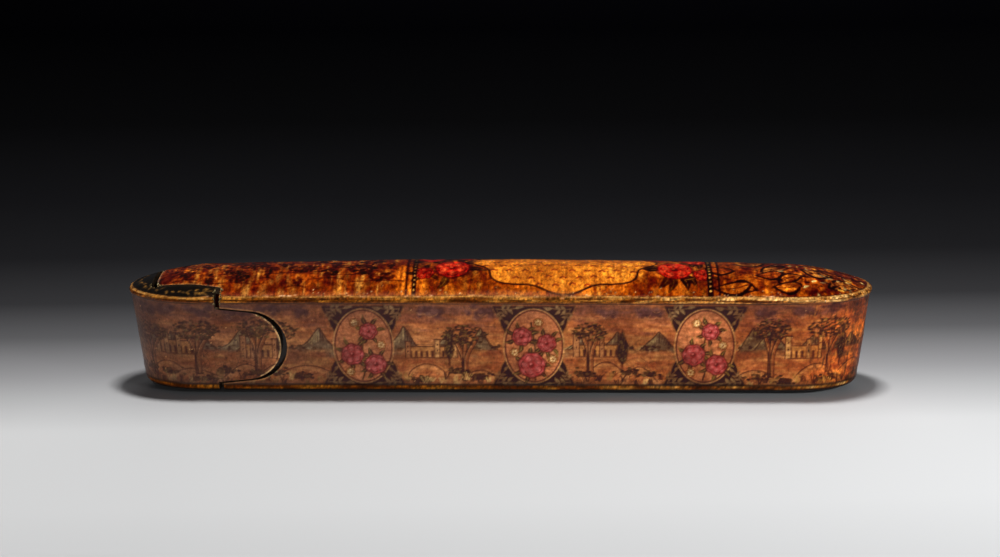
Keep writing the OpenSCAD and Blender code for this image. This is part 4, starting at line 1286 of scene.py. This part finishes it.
def worn_and_lit_lip(art, line, seed, colour, width):
    """A pale line along a lip, stronger and weaker by turns: rubbed paint, and on the head's lobe also a
    painted highlight of its lit edge.
    """
    rng = np.random.default_rng(seed)
    for a, b in zip(line[:-1], line[1:]):
        art.stroke([a, b], width, colour, rng.uniform(0.05, 0.9))


SHARP = math.radians(40)
BACK = END_X + CAP_L
CASE_SEED, TOP_SEED = 11, 21
CASE_MEDALS = [-41, 11, 63, -BACK - 44, BACK + 28, BACK + 80]
CASE_LANDS = [(-92, -52), (-31, 1), (21, 53), (73, 160), (160, 260), (-260, -155), (-160, -90)]


def case_walls(points):
    art = paint_walls(points, CASE_SEED, CASE_MEDALS, CASE_LANDS)
    worn_and_lit_lip(art, lobe_line(JOINT_GAP + 0.2, AJAR), 6, "#96683c", 0.4)
    return art


def case_top(points):
    art = paint_top(points, TOP_SEED)
    edge = tongue_line(TOP_TONGUE, -JOINT_GAP - 0.15, AJAR)
    worn_and_lit_lip(art, edge, 7, "#b98d55", 0.36)
    worn_and_lit_lip(art, edge[18:34], 17, "#ddd0a8", 0.5)
    return art


outer = outer_form("pen_box_case")
outer.data.materials.append(painted)
# The drawer's head is sawn from the same moulding, so it starts as a copy.
head = outer.copy()
head.data = outer.data.copy()
head.name = "drawer_head_shell"
scene.collection.objects.link(head)
carve(outer, ("DIFFERENCE", inner_form("hollow", CASE_WALL, lining)),
      ("DIFFERENCE", head_zone(JOINT_GAP, AJAR, raw_edge)), ("DIFFERENCE", lip_flakes(JOINT_GAP, AJAR, 3)))
outer.data.set_sharp_from_angle(angle=SHARP)
picture(outer, outside_layers(case_walls, case_top))
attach(outer, "case")
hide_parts("outer_case")

# Drawer head. The left end of the box, glued round the trough; its walls carry a hazy landscape and
# its top a black border with gold leaves beside the notch for the case's tongue.
HEAD_LANDS = [(-205, -60), (-300, -205)]
HEAD_LEAVES, HEAD_SPRAY, HEAD_EDGE = 46, (20.6, 15.7), 0.963
BORDER_LEAVES, BORDER_X, BORDER_Y = 26, (-93, -85), (15, 16.6)
HEAD_SEED, HEAD_TOP_SEED = 47, 51
HEAD_GOLDS = ["#6e4a1c", "#4a3216"]


def head_top(points):
    """The black border, with gold leaves round its end and along its sides."""
    rng = np.random.default_rng(HEAD_TOP_SEED)
    art = Painting(points[:, 0], points[:, 1], "#0d0906")
    for k in range(HEAD_LEAVES):
        a = math.pi / 2 + math.pi * (k + rng.uniform(0, 1)) / HEAD_LEAVES
        spot = (-END_X + HEAD_SPRAY[0] * math.cos(a), HEAD_SPRAY[1] * math.sin(a))
        length, turn = rng.uniform(1.2, 2.0), a + rng.uniform(-1.2, 1.2) + QUARTER
        leaf(art, spot, length, 0.6, turn, rng.choice(HEAD_GOLDS))
    for k in range(BORDER_LEAVES):
        spot = (rng.uniform(*BORDER_X), rng.choice((-1, 1)) * rng.uniform(*BORDER_Y))
        leaf(art, spot, 1.6, 0.6, rng.uniform(-0.9, 0.9), rng.choice(HEAD_GOLDS))
    art.mottle((0.9, 0.9), HEAD_TOP_SEED + 1, 0.2)
    border_top(art, HEAD_TOP_SEED, HEAD_EDGE)
    worn_and_lit_lip(art, tongue_line(TOP_TONGUE, 0.2), 8, "#4a3a22", 0.34)
    return art


def head_walls(points):
    art = paint_walls(points, HEAD_SEED, [], HEAD_LANDS)
    # Painted highlight: the pale line on the head's lobe lip stands for its lit edge as well as rubbed paint.
    worn_and_lit_lip(art, lobe_line(-0.2)[6:-4], 9, "#dcb67c", 0.36)
    return art


carve(head, ("DIFFERENCE", inner_form("bowl", HEAD_INSET, lining)), ("INTERSECT", head_zone(0, 0, raw_edge)),
      ("DIFFERENCE", lip_flakes(0, 0, 4)))
head.data.set_sharp_from_angle(angle=SHARP)
picture(head, outside_layers(head_walls, head_top))
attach(head, "drawer")
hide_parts("drawer_head")

# Drawer trough. An open paper trough with a rounded lip, red lacquer inside and black outside, with
# a running vine of gold and dull red flowers that shows when the drawer is drawn.
TROUGH_H, TAIL_GAP, LIP = 24.5, 2, 0.5
TROUGH_ENDS, TROUGH_SIDES, TROUGH_RINGS = 110, 330, 44
OUTSIDE_D, INSIDE_D = HEAD_INSET + BEAD_OUT + 0.02, TROUGH_INSET + BEAD_OUT
VINE_STEP, VINE_Z, VINE_FROM, VINE_TO = 9.0, 13.6, -54, 251
VINE_GOLD, VINE_ROSE = "#8a662b", ("#7c1c16", "#a8483a", "#3c0b0a")
VINE_TURNS, VINE_WAVE, VINE_LINES, LINES_TO = range(-6, 28), 4.2, (5.0, 22.6), 260
FAR_SIDE, INK_SPREAD, PENS_X = 40, (-84, 11), (-55, 95)
TROUGH_SEED, INSIDE_SEED = 61, 63
trough_size = (TROUGH_ENDS, TROUGH_SIDES, TAIL_GAP)
rings = [wall_ring(HEAD_INSET, OUTSIDE_D + FOOT_R, *trough_size)]
for z in np.linspace(HEAD_INSET + FOOT_R, TROUGH_H - LIP, TROUGH_RINGS):
    rings.append(wall_ring(z, OUTSIDE_D, *trough_size))
for a in np.radians(np.linspace(20, 160, 7)):
    across = (OUTSIDE_D + INSIDE_D) / 2 - (INSIDE_D - OUTSIDE_D) / 2 * np.cos(a)
    rings.append(wall_ring(TROUGH_H - LIP + LIP * np.sin(a), across, *trough_size))
outside_count = len(rings) * len(rings[0])
for z in np.linspace(TROUGH_H - LIP, TROUGH_INSET + FOOT_R, TROUGH_RINGS):
    rings.append(wall_ring(z, INSIDE_D, *trough_size))
rings.append(wall_ring(TROUGH_INSET, INSIDE_D + FOOT_R, *trough_size))
trough = loft("drawer_trough_shell", rings, TROUGH_ENDS)
trough.data.set_sharp_from_angle(angle=SHARP)


def trough_outside(points):
    """Black lacquer with the vine between two gold lines."""
    rng = np.random.default_rng(TROUGH_SEED)
    art = Painting(*wall_place(points), "#120b07")
    run = np.arange(VINE_FROM, VINE_TO, 1.0)
    wave = VINE_Z + VINE_WAVE * np.sin(run * math.pi / VINE_STEP)
    art.stroke(np.c_[run, wave], 0.8, "#7d5a24", soft=0.35)
    for k in VINE_TURNS:
        s, up_down = (k + 0.5) * VINE_STEP, 1 if k % 2 else -1
        for way in (0, math.pi):
            turn = way - up_down * math.cos(way) * 0.5
            sprig(art, np.array((s, VINE_Z + up_down * 4.0)), 4.6, turn, 0.3, VINE_GOLD)
        blossom(art, rng, (s, VINE_Z - up_down * 5.2), 1.9, *VINE_ROSE)
    for z in VINE_LINES:
        art.stroke([(VINE_FROM, z), (LINES_TO, z)], 0.5, VINE_GOLD)
    art.mottle((1.2, 1.2), TROUGH_SEED + 1, 0.25)
    return art


def trough_inside(points):
    """Red lacquer with ink splashed about the well, and scratches where the pens lie."""
    rng = np.random.default_rng(INSIDE_SEED)
    art = Painting(points[:, 0], points[:, 2] + np.sign(points[:, 1]) * FAR_SIDE, "#5e150c")
    art.mottle((9, 6), INSIDE_SEED + 1, 0.3)
    art.mottle((1.5, 0.8), INSIDE_SEED + 2, 0.2)
    for k in range(130):
        at = (rng.normal(*INK_SPREAD), rng.choice((-FAR_SIDE, FAR_SIDE)) + rng.uniform(4, 20))
        art.dab(at, (rng.uniform(0.3, 1.6), rng.uniform(0.3, 1.6)), "#0b0605", 0.7, soft=0.5)
    for k in range(160):
        at = np.array((rng.uniform(*PENS_X), rng.choice((-FAR_SIDE, FAR_SIDE)) + rng.uniform(4.5, 16)))
        way = np.array((rng.uniform(1, 6), rng.uniform(-0.3, 0.3)))
        art.stroke([at - way, at + way], 0.3, rng.choice(["#8c3a24", "#33100a"]), 0.5)
    return art


def trough_layers(points):
    outside = np.arange(len(points)) < outside_count
    return [(outside, trough_outside), (~outside, trough_inside)]


picture(trough, trough_layers)
trough.data.materials.append(lacquer("trough_lacquer", 240))
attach(trough, "drawer")
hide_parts("drawer_trough")


# Partition. A thin board of pasted paper, red like the trough, glued across it to keep the pens out
# of the ink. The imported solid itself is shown.
def dress(material, *nodes):
    """Gives CAD solids their finish."""
    for node in nodes:
        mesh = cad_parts[node].data
        mesh.materials.clear()
        mesh.materials.append(material)


red_lacquer = plain("red_lacquer", [(0.25, "#2a0806"), (0.5, "#52130c"), (0.8, "#6f1f12")],
                    140, (0.5, 1, 1), (0.3, 0.5), 0.15, coat=0.4)
dress(red_lacquer, "well_partition")

# Inkwell. Thin brass raised and soldered, its lid hinged on a pin; handled bright on the edges and
# browned in the corners.
brass = plain("worn_brass", [(0.25, "#4d3413"), (0.45, "#8d6728"), (0.6, "#b58b3e"), (0.78, "#d2b066")],
              180, EVEN, (0.25, 0.5), 0.12, metallic=0.7)
dress(brass, "inkwell_cup", "inkwell_cover", "inkwell_collar", "inkwell_lid", "lid_hinge_pin", "lid_knob")

# Silk wad. Raw silk teased into a pad and soaked with ink; it lies loose in the cup, and the pen
# is pressed on it, so it gives no more ink than the nib needs.
WAD_STEPS, WAD_AROUND, WAD_SQUARE = 14, 72, 0.55
low, high = (np.array(c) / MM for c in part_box("ink_wad"))
centre, half = (low + high) / 2, (high - low) / 2
tufts = np.random.default_rng(5).uniform(-1, 1, (12, 2))
t = np.linspace(0, 2 * math.pi, WAD_AROUND, endpoint=False)
rings = []
for a in np.radians(np.linspace(-85, 85, WAD_STEPS)):
    wide = np.cos(a) ** 0.3
    x = centre[0] + half[0] * 0.985 * wide * np.sign(np.cos(t)) * np.abs(np.cos(t)) ** WAD_SQUARE
    y = centre[1] + half[1] * 0.975 * wide * np.sign(np.sin(t)) * np.abs(np.sin(t)) ** WAD_SQUARE
    tangle = sum(np.sin(x * (0.5 + i * 0.17) + 3 * u) * np.cos(y * (0.6 + i * 0.13) + 4 * v)
                 for i, (u, v) in enumerate(tufts)) / 6
    z = centre[2] + half[2] * np.sin(a) * (0.86 + 0.1 * tangle * (a > 0))
    rings.append(np.c_[x, y, np.clip(z, low[2] + 0.02, high[2])])
n = WAD_AROUND
faces = [(j * n + k, j * n + (k + 1) % n, (j + 1) * n + (k + 1) % n, (j + 1) * n + k)
         for j in range(WAD_STEPS - 1) for k in range(n)]
faces += [tuple(range(n))[::-1], tuple((WAD_STEPS - 1) * n + k for k in range(n))]
wad = new_piece("silk_wad", np.vstack(rings), faces)
silk = plain("inky_silk", [(0.3, "#060505"), (0.6, "#15120f"), (0.8, "#2c2620")],
             700, (0.3, 1, 1), (0.5, 0.8), 0.8)
wad.data.materials.append(silk)
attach(wad, "drawer")
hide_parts("ink_wad")

# Reed pens. Three lengths of polished brown reed with dark fibres along them, each cut with a
# scooped, slit nib of another width; they lie loose in the trough.
reed = plain("brown_reed", [(0.28, "#3a1e0c"), (0.42, "#6d3f1d"), (0.55, "#8f5a2c"), (0.75, "#b98246")],
             520, (0.03, 1, 1), (0.28, 0.5), 0.25, coat=0.2)
dress(reed, "reed_pen_fine", "reed_pen_medium", "reed_pen_broad")

# Pen knife. A turned horn handle, a brass ferrule pressed over its end and a ground steel blade
# set in it with pitch; it lies loose beside the pens.
horn = plain("dark_horn", [(0.25, "#120b07"), (0.55, "#2c1a10"), (0.8, "#5e3d22")],
             150, (0.12, 1, 1), (0.2, 0.35), 0.1, coat=0.3)
steel = plain("ground_steel", [(0.3, "#5f6062"), (0.55, "#8b8c8e"), (0.75, "#a9aaab")],
              900, (0.05, 1, 1), (0.25, 0.4), 0.15, metallic=0.7)
dress(horn, "knife_handle")
dress(brass, "knife_ferrule")
dress(steel, "knife_blade")

# Nib plate. A flat strip of yellowed bone on which the nibs are cut; it is sawn, smoothed and
# lies loose in the trough.
bone = plain("old_bone", [(0.28, "#8d7448"), (0.42, "#b9a273"), (0.58, "#cdb98c"), (0.8, "#ddcda4")],
             520, (0.06, 1, 1), (0.35, 0.55), 0.2)
dress(bone, "nib_plate")
